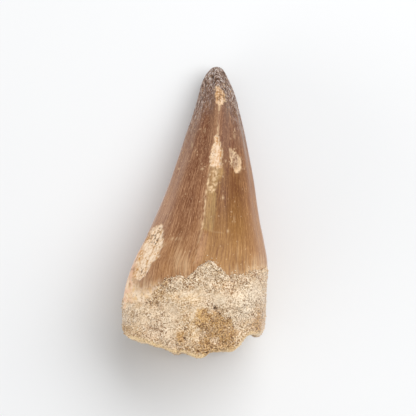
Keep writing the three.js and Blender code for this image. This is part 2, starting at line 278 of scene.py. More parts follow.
def inside(x, y, corners):
    """Distance in mm from the outline through the corners, positive inside it: the least distance
    to a side, with its sign from how often a line to the right crosses the outline."""
    a = np.array(corners, float)
    b = np.roll(a, -1, axis=0)
    least = np.full(x.shape, np.inf)
    crossings = np.zeros(x.shape, int)
    for (ax, ay), (bx, by) in zip(a, b):
        span = (bx - ax) ** 2 + (by - ay) ** 2
        t = clip(((x - ax) * (bx - ax) + (y - ay) * (by - ay)) / span)
        least = np.minimum(least, np.hypot(x - mix(ax, bx, t), y - mix(ay, by, t)))
        if ay != by:
            reach = mix(ax, bx, (y - ay) / (by - ay))
            crossings += ((ay > y) != (by > y)) & (x < reach)
    return np.where(crossings % 2 == 1, least, -least)


def filled(x, y, corners, soft, ragged=0.0, on_edge=0.5):
    """From 0 outside the outline to 1 inside it: the distance inside it plus ragged, over soft, is
    added to on_edge and eased."""
    return ease(on_edge + (inside(x, y, corners) + ragged) / soft)


def spots(x, y, places):
    """The sum over the places (x, y, radius across, radius along, strength) of strength times a
    bell of the distance from each, measured in its own two radii."""
    total = np.zeros(x.shape)
    for px, py, across, along, strength in places:
        total += strength * bell(np.hypot((x - px) / across, (y - py) / along))
    return total


# ---- The shape shared by the tooth and its rock ----


def column(which):
    """One column of STATIONS against minus the square root of the distance from the tip. Near the
    tip every size grows with that root, so the tip comes out round."""
    table = np.array(STATIONS)
    return np.stack([-np.sqrt(LENGTH - table[:, Y]), table[:, which]], axis=1)


def section(y):
    """Centre x and z and half-sizes across and up of the outline at y."""
    at = -np.sqrt(np.maximum(LENGTH - y, 0))
    left, right, under, top = (curve(column(which), at) for which in (LEFT, RIGHT, UNDER, TOP))
    return (left + right) / 2, (under + top) / 2, (right - left) / 2, (top - under) / 2


def middle(y, down=0.0):
    """The middle of the section at y, moved down along the tooth by that much."""
    x, z, _, _ = section(y)
    return np.array([x, y - down, z])


def ring_point(turn, y, inset=0.0, swell=0.0):
    """A point of the cross-section at y: an ellipse of the section's half-sizes, shrunk by inset
    and moved out by swell. It leans sideways with the square of the turn's sine: all the way to
    the ridge in front, and by the share BACK_LEAN of that at the back."""
    turn, y = np.broadcast_arrays(turn, y)
    cx, cz, half_x, half_z = section(y)
    c, n = np.cos(turn), np.sin(turn)
    lean = (curve(RIDGE_LINE, y) - cx) * n * n * np.where(n > 0, 1.0, BACK_LEAN)
    radius = np.hypot(half_x * c, half_z * n)
    grow = 1 + swell / np.maximum(np.maximum(radius, np.abs(swell)), LEAST)
    x = cx + lean + (half_x * grow - inset) * c
    z = cz + (half_z * grow - inset) * n
    return np.stack([x, y, z], axis=-1)


def on_table(points):
    """The points with none below the surface that the tooth rests on."""
    return np.concatenate([points[..., :2], np.maximum(points[..., 2:], 0)], axis=-1)


def rim_height(turn):
    """Where the rock's rim lies at this turn: the rim's curve and its ragged edge."""
    c = np.cos(turn)
    smooth = np.where(np.sin(turn) >= 0, curve(RIM_FRONT, c), curve(RIM_BACK, c))
    return uneven(ring_point(turn, smooth), RIM_NOISE, smooth)


def swell_at(points):
    """The rock's slow swell: a sum of sine waves along their directions."""
    total = np.zeros(points.shape[:-1])
    for kx, ky, kz, phase, height in SWELL:
        total += height * np.sin(points @ np.array([kx, ky, kz]) + phase)
    return total


def lumps_at(lumps, a, b):
    """The sum of lumps at (a, b), each a bell of its own radius and height."""
    return spots(a, b, [(la, lb, radius, radius, height) for la, lb, radius, height in lumps])


# ---- Meshes and materials ----


def frame_shift():
    """From this file's millimetres to the frame's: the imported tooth's tip less the tip here."""
    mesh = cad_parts["tooth"].data
    flat = np.empty(len(mesh.vertices) * 3, np.float32)
    mesh.vertices.foreach_get("co", flat)
    points = flat.reshape(-1, 3) / MM
    tip = points[points[:, 1].argmax()]
    return np.array([tip[0] - TIP[0], tip[1] - TIP[1], 0.0])


def in_scene(name, data):
    """A new object with that mesh, light or camera, linked to the scene."""
    made = bpy.data.objects.new(name, data)
    bpy.context.scene.collection.objects.link(made)
    return made


def new_mesh(name, points, faces, fields):
    """A smooth object at the origin from points in mm and lists of faces. fields are its
    attributes: a number or a vector for each point."""
    mesh = bpy.data.meshes.new(name)
    mesh.from_pydata((points + frame_shift()) * MM, [], faces)
    for field, values in fields.items():
        kind, key = ("FLOAT", "value") if values.ndim == 1 else ("FLOAT_VECTOR", "vector")
        attribute = mesh.attributes.new(field, kind, "POINT")
        attribute.data.foreach_set(key, values.astype(np.float32).ravel())
    mesh.polygons.foreach_set("use_smooth", np.ones(len(mesh.polygons), bool))
    mesh.update()
    return in_scene(name, mesh)


def skin_faces(rows, columns):
    """Faces of rings that are joined row to row, with a fan to a pole at either end. The poles are
    the last two points."""
    i = np.arange(columns)
    j = (i + 1) % columns
    row = np.arange(rows - 1)[:, None] * columns
    quads = np.stack([row + i, row + j, row + columns + j, row + columns + i], axis=-1)
    first, last = rows * columns, rows * columns + 1
    low = (rows - 1) * columns
    start = np.stack([np.full(columns, first), j, i], axis=-1)
    end = np.stack([low + i, low + j, np.full(columns, last)], axis=-1)
    return [*quads.reshape(-1, 4).tolist(), *start.tolist(), *end.tolist()]


def skin(name, rings, first, last, fields):
    """A closed surface through rings of points, shut by the points first and last. The fields are
    given on the rings, and the poles take the mean of the ring next to them."""
    rows, columns = rings.shape[:2]
    points = np.concatenate([rings.reshape(-1, 3), [first, last]])
    spread = {}
    for field, values in fields.items():
        poles = [values[0].mean(axis=0), values[-1].mean(axis=0)]
        flat = values.reshape(rows * columns, *values.shape[2:])
        spread[field] = np.concatenate([flat, np.array(poles)])
    return new_mesh(name, points, skin_faces(rows, columns), spread)


class Shader:
    """A new material's node tree, with short ways to add nodes and link them."""

    def __init__(self, name):
        self.material = bpy.data.materials.new(name)
        self.material.use_nodes = True
        self.tree = self.material.node_tree
        self.principled = self.tree.nodes["Principled BSDF"]

    def node(self, kind, inputs=(), output=0, **options):
        """Adds a node, sets its options, feeds its inputs and gives back one of its outputs."""
        made = self.tree.nodes.new(kind)
        made.location = (-220 * (len(self.tree.nodes) - 2), 0)
        for key, value in options.items():
            setattr(made, key, value)
        for key, value in dict(inputs).items():
            self.feed(made.inputs[key], value)
        return made.outputs[output]

    def feed(self, socket, value):
        """Links an output to the socket, or sets the socket to a number, vector or colour."""
        if isinstance(value, bpy.types.NodeSocket):
            self.tree.links.new(value, socket)
        elif socket.type == "RGBA" and len(value) == 3:
            socket.default_value = (*value, 1.0)
        else:
            socket.default_value = value

    def own(self, field, output="Fac"):
        """One of the piece's own attributes, as a number."""
        return self.node("ShaderNodeAttribute", output=output, attribute_name=field)

    def own_vector(self, field):
        """One of the piece's own attributes, as a vector."""
        return self.own(field, "Vector")

    def place(self):
        """Object coordinates, in metres."""
        return self.node("ShaderNodeTexCoord", output="Object")

    def maths(self, operation, a, b=0.0, clamp=False):
        """a and b joined by that operation."""
        return self.node("ShaderNodeMath", {0: a, 1: b}, operation=operation, use_clamp=clamp)

    def times(self, a, b):
        """a times b."""
        return self.maths("MULTIPLY", a, b)

    def most(self, a, b):
        """The larger of a and b."""
        return self.maths("MAXIMUM", a, b)

    def steps(self, value, low, high, to_low=0.0, to_high=1.0):
        """value between low and high, brought to between to_low and to_high and held there."""
        inputs = {0: value, 1: low, 2: high, 3: to_low, 4: to_high}
        return self.node("ShaderNodeMapRange", inputs, clamp=True)

    def blend(self, share, a, b, kind="MIX"):
        """Colour a at share 0, and a mixed with b in that way at share 1."""
        inputs = {0: share, 6: a, 7: b}
        return self.node("ShaderNodeMix", inputs, 2, data_type="RGBA", blend_type=kind)

    def paint(self, colour, coats, kind="MIX"):
        """The colour under coats that are laid one after another. Each is a share or the name of
        an attribute, its strength, and the coat's colour."""
        for share, strength, tint in coats:
            if isinstance(share, str):
                share = self.own(share)
            if strength != 1:
                share = self.times(share, strength)
            colour = self.blend(share, colour, tint, kind)
        return colour

    def ramp(self, value, stops):
        """A colour ramp through (place, colour) stops."""
        made = self.tree.nodes.new("ShaderNodeValToRGB")
        self.feed(made.inputs[0], value)
        elements = made.color_ramp.elements
        while len(elements) < len(stops):
            elements.new(0.5)
        for element, (place, colour) in zip(elements, stops):
            element.position = place
            element.color = (*colour, 1.0)
        return made.outputs["Color"]

    def grainy(self, vector, scale, detail=3.0, roughness=0.5):
        """Noise from 0 to 1 with that many cells to a unit of the vector."""
        inputs = {"Vector": vector, "Scale": scale, "Detail": detail, "Roughness": roughness}
        return self.node("ShaderNodeTexNoise", inputs)

    def near_middle(self, value, wide, thin):
        """1 where the value is within thin of 0.5, and 0 where it is more than wide from it."""
        off = self.maths("ABSOLUTE", self.maths("SUBTRACT", value, 0.5))
        return self.steps(off, wide, thin)

    def bumped(self, height, strength, distance, normal=None):
        """The surface's direction, tilted by a height in metres."""
        inputs = {"Height": height, "Strength": strength, "Distance": distance}
        if normal is not None:
            inputs["Normal"] = normal
        return self.node("ShaderNodeBump", inputs)

    def finish(self, colour, roughness, normal=None, others=()):
        """Feeds the surface shader, sets the others of its sockets and gives back the material."""
        inputs = {"Base Color": colour, "Roughness": roughness, **dict(others)}
        if normal is not None:
            inputs["Normal"] = normal
        for name, value in inputs.items():
            self.feed(self.principled.inputs[name], value)
        return self.material


# ---- The tooth: crown and root in one skin ----

CROWN_COLUMNS = 320
CROWN_ROWS = 296
ROOT_ROWS = 8
TIP_CROWDING = 1.25  # above 1, rows crowd towards the tip
FRONT_CROWDING = 0.3  # above 0, columns crowd towards the front
TUCK = 1.3  # how far the crown goes on under the rock's rim
ROOT_INSET = 1.9  # how far the root then steps in
ROOT_TAPER = 0.22  # and how much further for each mm down
ROOT_STEP = 2.5  # over what height it steps in
ROOT_END = 6.2  # where the root stops inside the rock
ROOT_BULGE = 1.4  # how far its end rounds out
CAP_SHARE, CAP_DROP = 0.55, 0.7  # how wide and how far out its extra ring is, as shares
FLUTES = 11
APEX_FADE = 6.0  # ridges and flutes come up to full height this far from the tip
CHIP_REACH = -0.25  # chips stay where the sine of the turn is above this
LINE_RADIUS = 8.0  # of the cylinder that the fine lines are laid out on
LINE_STRETCH = 36.0  # how many times longer than wide the fine lines are
RIDGE_WIDTH = 0.75  # of the cutting ridges
FLUTE_HEIGHT = 0.1
WAVE_HEIGHT = 0.07  # of the crown's slow unevenness
CHIP_ROUGHNESS = 0.09  # of the floors of the chips
CHIP_LIP = 0.12  # how far the floor comes up along a chip's edge
WRINKLE_WIDTH = 0.38
WRINKLE_LENGTH = 2.0
WRINKLE_REACH = (9.0, 22.5)  # how far from the tip they go, in front and on the flanks
SIDE_SHARE = 0.8  # how far the way round the side counts, as a share of the half-depth
ARCH_START = 0.9  # how steeply the tip's wrinkles fall away beside the ridge
ARCH_SLOPE = 0.14  # and how much more steeply for each mm from it

# Reddish dark patches in the enamel: x, y, radius across, radius along, strength.
RUSTY_SPOTS = [
    (1.9, 44.6, 1.0, 2.4, 0.8), (0.3, 39.6, 1.4, 3.0, 0.8), (-1.8, 29.4, 2.4, 4.6, 0.75),
    (-0.6, 34.5, 1.5, 3.5, 0.6), (5.2, 31.2, 1.2, 3.4, 0.7), (6.9, 43.6, 1.2, 2.0, 0.5),
    (1.6, 50.6, 0.9, 3.0, 0.7), (6.6, 35.4, 1.6, 2.6, 0.35), (5.6, 46.8, 0.7, 3.0, 0.5),
    (2.4, 47.2, 0.9, 3.0, 0.8), (-2.9, 24.6, 2.0, 2.2, 0.35), (7.4, 45.0, 1.6, 4.2, 0.8),
    (6.0, 40.0, 0.8, 2.0, 0.5), (6.8, 37.6, 1.2, 1.8, 0.5), (5.4, 45.6, 1.0, 2.6, 0.7),
    (0.6, 46.0, 0.8, 2.4, 0.4), (5.4, 33.4, 0.9, 3.6, 0.5), (-1.2, 36.0, 0.8, 2.4, 0.3),
    (8.2, 39.6, 0.8, 1.2, 0.5), (-4.6, 27.6, 1.8, 3.4, 0.3),
]

# Pale worn places and flecks in the enamel.
PALE_SPOTS = [
    (-3.2, 19.6, 1.0, 2.8, 0.45), (-1.4, 18.4, 0.7, 2.2, 0.5), (-0.5, 42.9, 0.22, 0.55, 0.9),
    (5.6, 32.25, 0.28, 0.28, 0.9), (-6.0, 23.0, 0.5, 0.3, 0.5), (-3.9, 24.1, 0.9, 0.24, 1.0),
    (1.6, 38.0, 0.35, 0.2, 0.7), (6.2, 39.6, 0.25, 0.25, 0.8), (8.0, 44.6, 0.3, 0.6, 0.6),
    (2.0, 45.6, 0.2, 0.35, 0.6), (6.6, 25.6, 0.25, 0.3, 0.6), (7.9, 28.0, 0.22, 0.7, 0.5),
    (9.0, 21.4, 1.4, 2.0, 0.2), (12.4, 19.6, 1.6, 1.2, 0.6), (9.2, 18.4, 2.0, 0.7, 0.5),
    (8.7, 37.9, 0.5, 0.5, 1.0), (-9.8, 15.2, 1.6, 1.4, 0.5),
]

# Golden and orange stains in the bare places.
WARM_SPOTS = [
    (5.0, 53.0, 2.0, 1.8, 1.0), (4.5, 43.6, 0.6, 0.8, 1.0), (5.3, 41.0, 0.3, 1.8, 0.9),
    (4.6, 38.5, 1.2, 0.2, 0.6), (8.6, 38.0, 0.8, 0.8, 0.6), (-12.2, 18.6, 0.6, 2.0, 1.0),
    (-10.9, 22.0, 0.5, 1.8, 1.0), (-9.2, 24.8, 0.5, 1.4, 0.9), (-7.4, 20.5, 0.4, 0.8, 0.7),
    (-9.0, 18.0, 0.4, 0.8, 0.5), (-8.7, 22.6, 0.25, 1.4, 0.3),
]

# Where the enamel's floor in a chip is pitted with dark pores.
PITTED_SPOTS = [
    (5.2, 52.6, 1.0, 1.5, 0.9), (8.2, 39.4, 1.2, 2.2, 0.8), (-7.9, 23.4, 0.6, 1.2, 0.6),
    (-10.6, 17.6, 1.0, 1.0, 0.8), (3.6, 40.9, 0.4, 0.5, 0.8), (-7.2, 25.8, 0.5, 0.8, 0.8),
    (-8.4, 24.2, 1.0, 1.6, 0.8), (-9.6, 20.4, 1.2, 2.4, 0.15),
]

# Dark purplish places near the tip.
DUSKY_SPOTS = [(3.0, 52.6, 0.8, 2.8, 0.6), (6.6, 50.4, 0.7, 2.4, 0.4)]

# Where the golden wear of the stripe spreads over the enamel.
OLIVE_SPOTS = [(5.0, 36.4, 1.0, 1.8, 0.3)]

CRACK = [(1.8, 25.9), (2.8, 25.7), (3.8, 25.4), (5.2, 25.3), (5.8, 25.1)]
BETWEEN_CHIPS = (44.6, 51.2)  # where light bits lie on the ridge, from its chip to the tip's

# The left edge of the worn stripe: y, x.
STRIPE_EDGE = [
    (19.0, -0.1), (22.0, 0.5), (24.0, 0.9), (26.0, 1.5), (28.2, 1.8), (30.2, 2.0), (33.0, 2.3),
    (34.6, 2.6), (37.0, 3.1),
]

# Ragged outlines of the chips and of the other patches, as noises: height, size, seed.
CHIP_NOISE = [(0.25, 0.9, 73), (0.22, 0.38, 74)]
PATCH_NOISE = [(0.18, 0.5, 61), (0.1, 0.22, 62)]

# What the root takes over from the crown's last ring. The other fields are 0 there.
CARRIED = ("along", "height", "arch")


def crowded_turns(columns):
    """Angles round the tooth from +X through +Z, closer together at the front: the even angle plus
    FRONT_CROWDING times its cosine less 1."""
    even = np.arange(columns) / columns * 2 * math.pi
    return even + FRONT_CROWDING * (np.cos(even) - 1)


def crown_grid():
    """Turns and heights of the crown's rings, from just below the tip to TUCK under the rim."""
    turn = crowded_turns(CROWN_COLUMNS)
    low = rim_height(turn) - TUCK
    share = (np.arange(1, CROWN_ROWS + 1) / CROWN_ROWS)[:, None] ** TIP_CROWDING
    return np.broadcast_arrays(turn, LENGTH - (LENGTH - low) * share)


def along_the_tooth(turn, y):
    """Coordinates for lines that run from tip to rim: a cylinder's, stretched out along y."""
    round_x, round_z = LINE_RADIUS * np.cos(turn), LINE_RADIUS * np.sin(turn)
    return np.stack([round_x, y / LINE_STRETCH, round_z], axis=-1)


def wrinkles(points, turn, y):
    """The fine wrinkles round the tip: their crests, from -1 between them to 1 on them, how strong
    they are, and the arched coordinates that they follow. A crest is 1 less twice the size of
    noise that is stretched along arches. An arch falls away from the ridge by ARCH_START times the
    distance across plus ARCH_SLOPE times its square, and that distance goes on growing round the
    sides. The wrinkles reach further down on the flanks."""
    round_the_side = SIDE_SHARE * section(y)[3] * (1 - np.sin(turn))
    across = np.abs(points[..., 0] - curve(RIDGE_LINE, y)) + round_the_side
    down = LENGTH - y
    warp = 0.5 * noise(points, 1.1, 51)
    steep = down - across * (ARCH_START + ARCH_SLOPE * across) + warp
    level = across + 1.5 * down
    folded = [steep / WRINKLE_WIDTH, level / WRINKLE_LENGTH, 0.5 * points[..., 0]]
    arch = np.stack(folded, axis=-1)
    crest = 1 - 2 * np.abs(noise(arch, 1.0, 52)) ** 0.7
    reach = mix(*WRINKLE_REACH, np.cos(turn) ** 2)
    return np.clip(crest, -1, 1), ease(1.25 * (1 - down / reach)), arch


def chips_at(points, turn, y):
    """How far inside the nearest chip each point lies, in mm, how deep the enamel is cut away
    there, as a share, and how bare it is."""
    x = points[..., 0]
    ragged = uneven(points, CHIP_NOISE)
    front = np.sin(turn) > CHIP_REACH
    within = np.full(x.shape, -np.inf)
    cut, bare = np.zeros(x.shape), np.zeros(x.shape)
    for outline, depth, bareness in CHIPS:
        far = inside(x, y, outline) + ragged
        within = np.maximum(within, far)
        cut = np.maximum(cut, depth * ease(0.3 + far / 0.5) * front)
        bare = np.maximum(bare, bareness * ease(0.5 + far / 0.28) * front)
    return within, cut, bare


def ridge_markings(points, turn, y):
    """Pale things along the front ridge, and how worn the ridge is. They are the bright left edge
    of the stripe, squiggles on the worn ridge, beside the stripe and in the right chip, a crack,
    and the light bits between the ridge's chip and the tip's, which are a painted highlight on the
    ridge's crest."""
    x = points[..., 0]
    from_edge = x - curve(STRIPE_EDGE, y)
    edge = bell((from_edge - 0.08 * noise(points, 0.5, 65)) / 0.17)
    edge *= (y > STRIPE_EDGE[0][0]) * (y < STRIPE_EDGE[-1][0])
    edge *= clip(0.5 + 1.6 * noise(points, 0.45, 66)) * mix(0.35, 1.0, y > 26)
    worn = filled(x, y, WORN_RIDGE, 0.5)
    chip = filled(x, y, RIGHT_CHIP, 0.5)
    beside = 0.55 * bell(from_edge / 0.45) * between(y, 23, 36, 3, 2)
    squiggle = bell(layered(points, 0.5, 2, 67) / 0.17) * clip(0.5 + 1.4 * noise(points, 0.8, 70))
    squiggle *= mix(mix(1.0, 0.4, ease(x - 4.2)), 0.8, chip)
    squiggle *= np.maximum(np.maximum(worn, chip), beside)
    crack = bell((y - curve(CRACK, x) - 0.1 * noise(points, 0.8, 63)) / 0.13)
    crack *= (x > CRACK[0][0]) * (x < CRACK[-1][0]) * clip(0.7 + noise(points, 0.7, 77))
    # Light bits on the ridge's crest between the two chips: painted highlight.
    bits = bell((x - curve(RIDGE_LINE, y)) / 0.2) * (y > BETWEEN_CHIPS[0]) * (y < BETWEEN_CHIPS[1])
    bits *= clip(0.25 + 3 * noise(points * (1.0, 0.6, 1.0), 0.4, 68))
    shown = 0.85 * edge + 0.95 * squiggle + 0.16 * crack + 0.6 * bits
    return shown * (np.sin(turn) > CHIP_REACH), worn


def golden_side(turn, y, x):
    """How golden the enamel is: the right side of the front, less so at its edge, near the rim and
    towards the tip."""
    side = ease(0.5 + (x - curve(RIDGE_LINE, y) - 0.6) / 1.8) * ease(0.5 + 2 * np.sin(turn))
    edge = mix(1.0, 0.6, ease((np.cos(turn) - 0.6) / 0.35))
    return side * edge * mix(0.7, 1.0, ease((y - 19) / 9)) * ease((46 - y) / 10)


def tooth_fields(turn, y, points, within, bare):
    """What the enamel's material reads at each point, each from 0 to 1 but for the place along."""
    x = points[..., 0]
    c = np.cos(turn)
    front = ease((np.sin(turn) - CHIP_REACH) / 0.3 + 0.5 * noise(points, 1.5, 60))
    ragged = uneven(points, PATCH_NOISE)
    # The crown's sides, the left more, are painted lighter: painted rim light.
    flank = 0.8 * ease((-c - 0.42) / 0.6) + 0.35 * ease((c - 0.66) / 0.34)
    # The band left of the ridge and the band beside the stripe are painted highlight.
    ridge = bell((x + 0.25 - curve(RIDGE_LINE, y)) / 0.75) * between(y, 36, 56, 8, 5)
    beside = bell((x - curve(STRIPE_EDGE, y) + 0.7) / 0.5) * between(y, 20, 37, 5, 3)
    stripe = filled(x, y, STRIPE, 0.5, 0.6 * ragged) * front
    streak = filled(x, y, LOWER_STREAK, 0.9, ragged) * front
    peach = ease((-c - 0.84) / 0.12) * ease((24 - y) / 4) * ease(0.6 + noise(points, 0.8, 78))
    marks, worn = ridge_markings(points, turn, y)
    lime = ease(1 - (y - rim_height(turn) - 0.2) / 1.3) * ease(0.5 + 3 * (c - 0.5))
    border = bell((within - 0.05) / 0.16) * clip(0.6 + noise(points, 0.5, 69)) * front
    specks = ease(9 * noise(points * (1.0, 0.6, 1.0), 0.3, 64) - mix(7.2, 6.6, ease((y - 26) / 12)))
    streaks = clip(0.45 + 1.1 * layered(along_the_tooth(turn, y), 0.22, 2, 79))
    pale = spots(x, y, PALE_SPOTS) * front * streaks + 0.6 * lime * mix(0.5, 1.1, streaks)
    pale += marks + 0.75 * border + 0.55 * specks
    return {
        "along": along_the_tooth(turn, y),
        "height": clip((y - 12.0) / (LENGTH - 12.0)),
        "rusty": clip(spots(x, y, RUSTY_SPOTS) * front),
        "golden": golden_side(turn, y, x),
        "dusky": clip(0.5 * ease(c / 0.5) * ease((y - 40) / 6) + spots(x, y, DUSKY_SPOTS) * front),
        "flank": flank * ease((y - 14) / 4),
        "pale": clip(pale),
        "olive": clip(0.9 * stripe + (0.75 * worn + spots(x, y, OLIVE_SPOTS)) * front),
        # The real streak below the stripe, plus painted highlight along the ridge.
        "streaky": clip(0.45 * streak + (0.42 * ridge + 0.32 * beside) * front),
        "neck": filled(x, y, BARE_NECK, 3.4, 3 * ragged, 0.6) * front,
        "peach": peach * front,
        "bare": bare,
        "pitted": clip(spots(x, y, PITTED_SPOTS)),
        "warm": clip(spots(x, y, WARM_SPOTS)),
    }


def tooth_surface(settings):
    """Rings, poles and fields of the tooth. The crown is the section plus ridges, flutes, waves,
    fine lines and the wrinkles of the tip, less the chips, whose floors are rough."""
    turn, y = crown_grid()
    base = ring_point(turn, y)
    x = base[..., 0]
    below = LENGTH - y
    fade = np.clip(below / APEX_FADE, 0.15, 1.0)
    half_x = section(y)[2]
    ridge = settings.ridge_height / MM * bell(half_x * np.cos(turn) / RIDGE_WIDTH) * fade
    flute = FLUTE_HEIGHT * np.cos(FLUTES * turn) * fade
    crest, near_tip, arch = wrinkles(base, turn, y)
    wrinkle = settings.wrinkle_height / MM * crest * near_tip * clip(below / 0.8)
    along = along_the_tooth(turn, y)
    lines = settings.line_depth / MM * layered(along, 0.4, 2, 71) * clip(below / 3)
    wave = WAVE_HEIGHT * layered(base, 4.5, 2, 72) * clip(below / 5)
    within, cut, bare = chips_at(base, turn, y)
    floor = CHIP_ROUGHNESS * layered(base, 0.7, 3, 75) + CHIP_LIP * bell(within / 0.25)
    fields = tooth_fields(turn, y, base, within, bare)
    shown = near_tip * (1 - 0.6 * clip(spots(x, y, DUSKY_SPOTS)))
    fields |= {"crest": clip(0.5 + 0.5 * crest), "near_tip": shown, "arch": arch}
    worn = fields["olive"]
    relief = ridge * (1 - 0.6 * worn) + flute + wave + (lines + wrinkle) * (1 - cut)
    relief += cut * (floor - settings.chip_depth / MM) + 0.05 * worn * layered(base, 0.6, 2, 76)
    crown = on_table(ring_point(turn, y, 0.0, relief))
    root = root_rings(turn[-1], y[-1])
    for name, values in fields.items():
        last = values[-1:] * (name in CARRIED)
        fields[name] = np.concatenate([values, np.repeat(last, len(root), axis=0)])
    rings = np.concatenate([crown, root])
    return rings, ring_point(0.0, LENGTH), middle(ROOT_END, ROOT_BULGE), fields


def root_inset(down):
    """How far the root lies inside the section, this far below the crown's lower edge: it steps
    in, then tapers."""
    return ROOT_INSET * ease(down / ROOT_STEP) + ROOT_TAPER * down


def root_rings(turn, top):
    """The root from under the rim to its end, with one more ring on the rounded end."""
    share = (np.arange(1, ROOT_ROWS + 1) / ROOT_ROWS)[:, None]
    y = mix(top, ROOT_END, share)
    rings = ring_point(turn, y, root_inset(top - y))
    cap = mix(middle(ROOT_END), rings[-1:], CAP_SHARE) - (0.0, CAP_DROP * ROOT_BULGE, 0.0)
    return on_table(np.concatenate([rings, cap]))


def enamel_material(s):
    """Brown fossil enamel. A ramp along the tooth, clouds, painted patches and fine lines make its
    colour. Its sides are painted lighter as painted rim light, and two bands by the ridge as
    painted highlight. The tip's wrinkles get an ash-grey painted highlight on their crests and
    painted shade between them. The bare neck is mottled and pored, and the thin enamel on the left
    edge has rusty spots."""
    m = Shader("fossil_enamel")
    place, along, height = m.place(), m.own_vector("along"), m.own("height")
    near_tip = m.own("near_tip")
    stops = [(0.1, s.tan), (0.3, s.honey), (0.44, s.brown), (0.8, s.umber), (0.95, s.taupe)]
    cloud = m.steps(m.grainy(place, 240.0), 0.42, 0.68, 0.0, 0.35)
    amber = m.blend(m.steps(height, 0.14, 0.46), s.amber, s.golden_brown)
    # Painted rim light on the sides, greyer further up.
    flank = m.blend(m.steps(height, 0.4, 0.8), s.flank, s.rim_lit_flank_high)
    colour = m.paint(m.ramp(height, stops), [
        (cloud, 1, s.rust), ("golden", 1, amber), ("dusky", 1, s.taupe), ("rusty", 0.68, s.rust),
        # The streak colour also paints the highlight bands by the ridge.
        ("flank", 1, flank), ("olive", 1, s.olive), ("streaky", 1, s.streak),
    ])
    net = m.grainy(m.own_vector("arch"), 1.6, 3.0, 0.65)
    net = m.maths("ADD", net, m.steps(m.own("crest"), 0.0, 1.0, -0.1, 0.09))
    mottle = m.grainy(place, 900.0, 4.0, 0.6)
    grit = m.grainy(place, 2200.0, 2.0, 0.6)
    neck = m.blend(m.steps(mottle, 0.35, 0.6), s.neck, s.ivory)
    neck = m.blend(m.steps(grit, 0.43, 0.3, 0.0, 0.5), neck, s.pore)
    spot = m.times(m.steps(mottle, 0.46, 0.38, 0.0, 0.6), m.own("peach"))
    colour = m.paint(enamel_lines(m, s, along, colour), [
        # Painted shade between the tip's wrinkles and an ash-grey painted highlight on their
        # crests.
        (m.times(near_tip, m.steps(net, 0.51, 0.4)), 0.95, s.valley_shade),
        (m.times(near_tip, m.steps(net, 0.54, 0.64)), 0.85, s.ash),
        ("pale", 1, s.pale), ("neck", 1, neck), ("peach", 0.7, s.peach), (spot, 1, s.rust),
        ("bare", 1, dentine(m, s, along, mottle, grit)),
    ])
    fine = m.grainy(along, 5.0, 3.0, 0.6)
    rough = m.steps(fine, 0.3, 0.7, s.roughness - 0.06, s.roughness + 0.1)
    dull = m.times(m.most(m.own("bare"), m.own("neck")), 0.4)
    rough = m.maths("ADD", rough, dull, clamp=True)
    normal = m.bumped(fine, 0.35, 0.00006)
    normal = m.bumped(m.grainy(place, 2600.0, 3.0, 0.65), 0.35, 0.00006, normal)
    others = {
        "IOR": s.ior, "Specular IOR Level": s.shine, "Sheen Weight": s.bloom,
        "Sheen Roughness": 0.35,
    }
    return m.finish(colour, rough, normal, others)


def enamel_lines(m, s, along, colour):
    """The colour under light and dark lines from tip to rim in three widths, and short flecks. The
    lines are calmer on the golden side, away from the rim, and the light ones are gilt there."""
    golden, height = m.own("golden"), m.own("height")
    broad = m.grainy(along, 1.1)
    fine = m.grainy(along, 5.5, 2.0, 0.7)
    thread = m.grainy(along, 11.0, 2.0, 0.6)
    short = m.node("ShaderNodeMapping", {"Vector": along, "Scale": (1.0, 8.0, 1.0)})
    fleck = m.grainy(short, 8.0, 3.0, 0.65)
    calm = m.most(m.steps(golden, 0.0, 1.0, 1.0, 0.65), m.steps(height, 0.42, 0.15))
    much = m.times(m.steps(height, 0.2, 0.6, 0.4, 0.55), m.steps(golden, 0.0, 1.0, 1.0, 0.5))
    much = m.most(much, m.times(m.own("flank"), 0.7))
    lit, dim = m.steps(fine, 0.54, 0.68, 0.0, 0.3), m.steps(fine, 0.49, 0.36, 0.0, 0.34)
    lit = m.maths("ADD", lit, m.steps(thread, 0.53, 0.66, 0.0, 0.5))
    dim = m.maths("ADD", dim, m.steps(thread, 0.49, 0.36, 0.0, 0.4))
    pale = m.blend(golden, s.streak, s.gilt)
    return m.paint(colour, [
        (m.steps(broad, 0.5, 0.72, 0.0, 0.12), 1, pale),
        (m.times(lit, calm), 1, pale), (m.times(dim, calm), 1, s.rust),
        (m.times(much, m.steps(fleck, 0.53, 0.66)), 1, pale),
        (m.times(much, m.steps(fleck, 0.47, 0.34)), 1, s.rust),
    ])


def dentine(m, s, along, mottle, grit):
    """The colour of bare dentine: cream and ivory clouds and fibres, golden stains, specks and
    gaps between the fibres, and dark pores where it is pitted."""
    fibre, pitted = m.grainy(along, 2.8, 3.0, 0.6), m.own("pitted")
    speck = m.times(m.steps(grit, 0.47, 0.37), m.steps(mottle, 0.54, 0.42, 0.1, 0.9))
    gap = m.times(m.steps(fibre, 0.47, 0.38), m.steps(pitted, 0.0, 1.0, 0.3, 0.7))
    return m.paint(m.blend(m.steps(mottle, 0.43, 0.56), s.cream, s.ivory), [
        ("warm", 1, s.golden), (m.steps(grit, 0.52, 0.62, 0.0, 0.85), 1, s.ivory),
        (speck, 1, s.golden), (m.steps(fibre, 0.5, 0.58, 0.0, 0.5), 1, s.ivory),
        (gap, 1, s.golden), (m.times(m.steps(grit, 0.48, 0.4), pitted), 1, s.pore),
    ])


# ---- The rock round the root ----

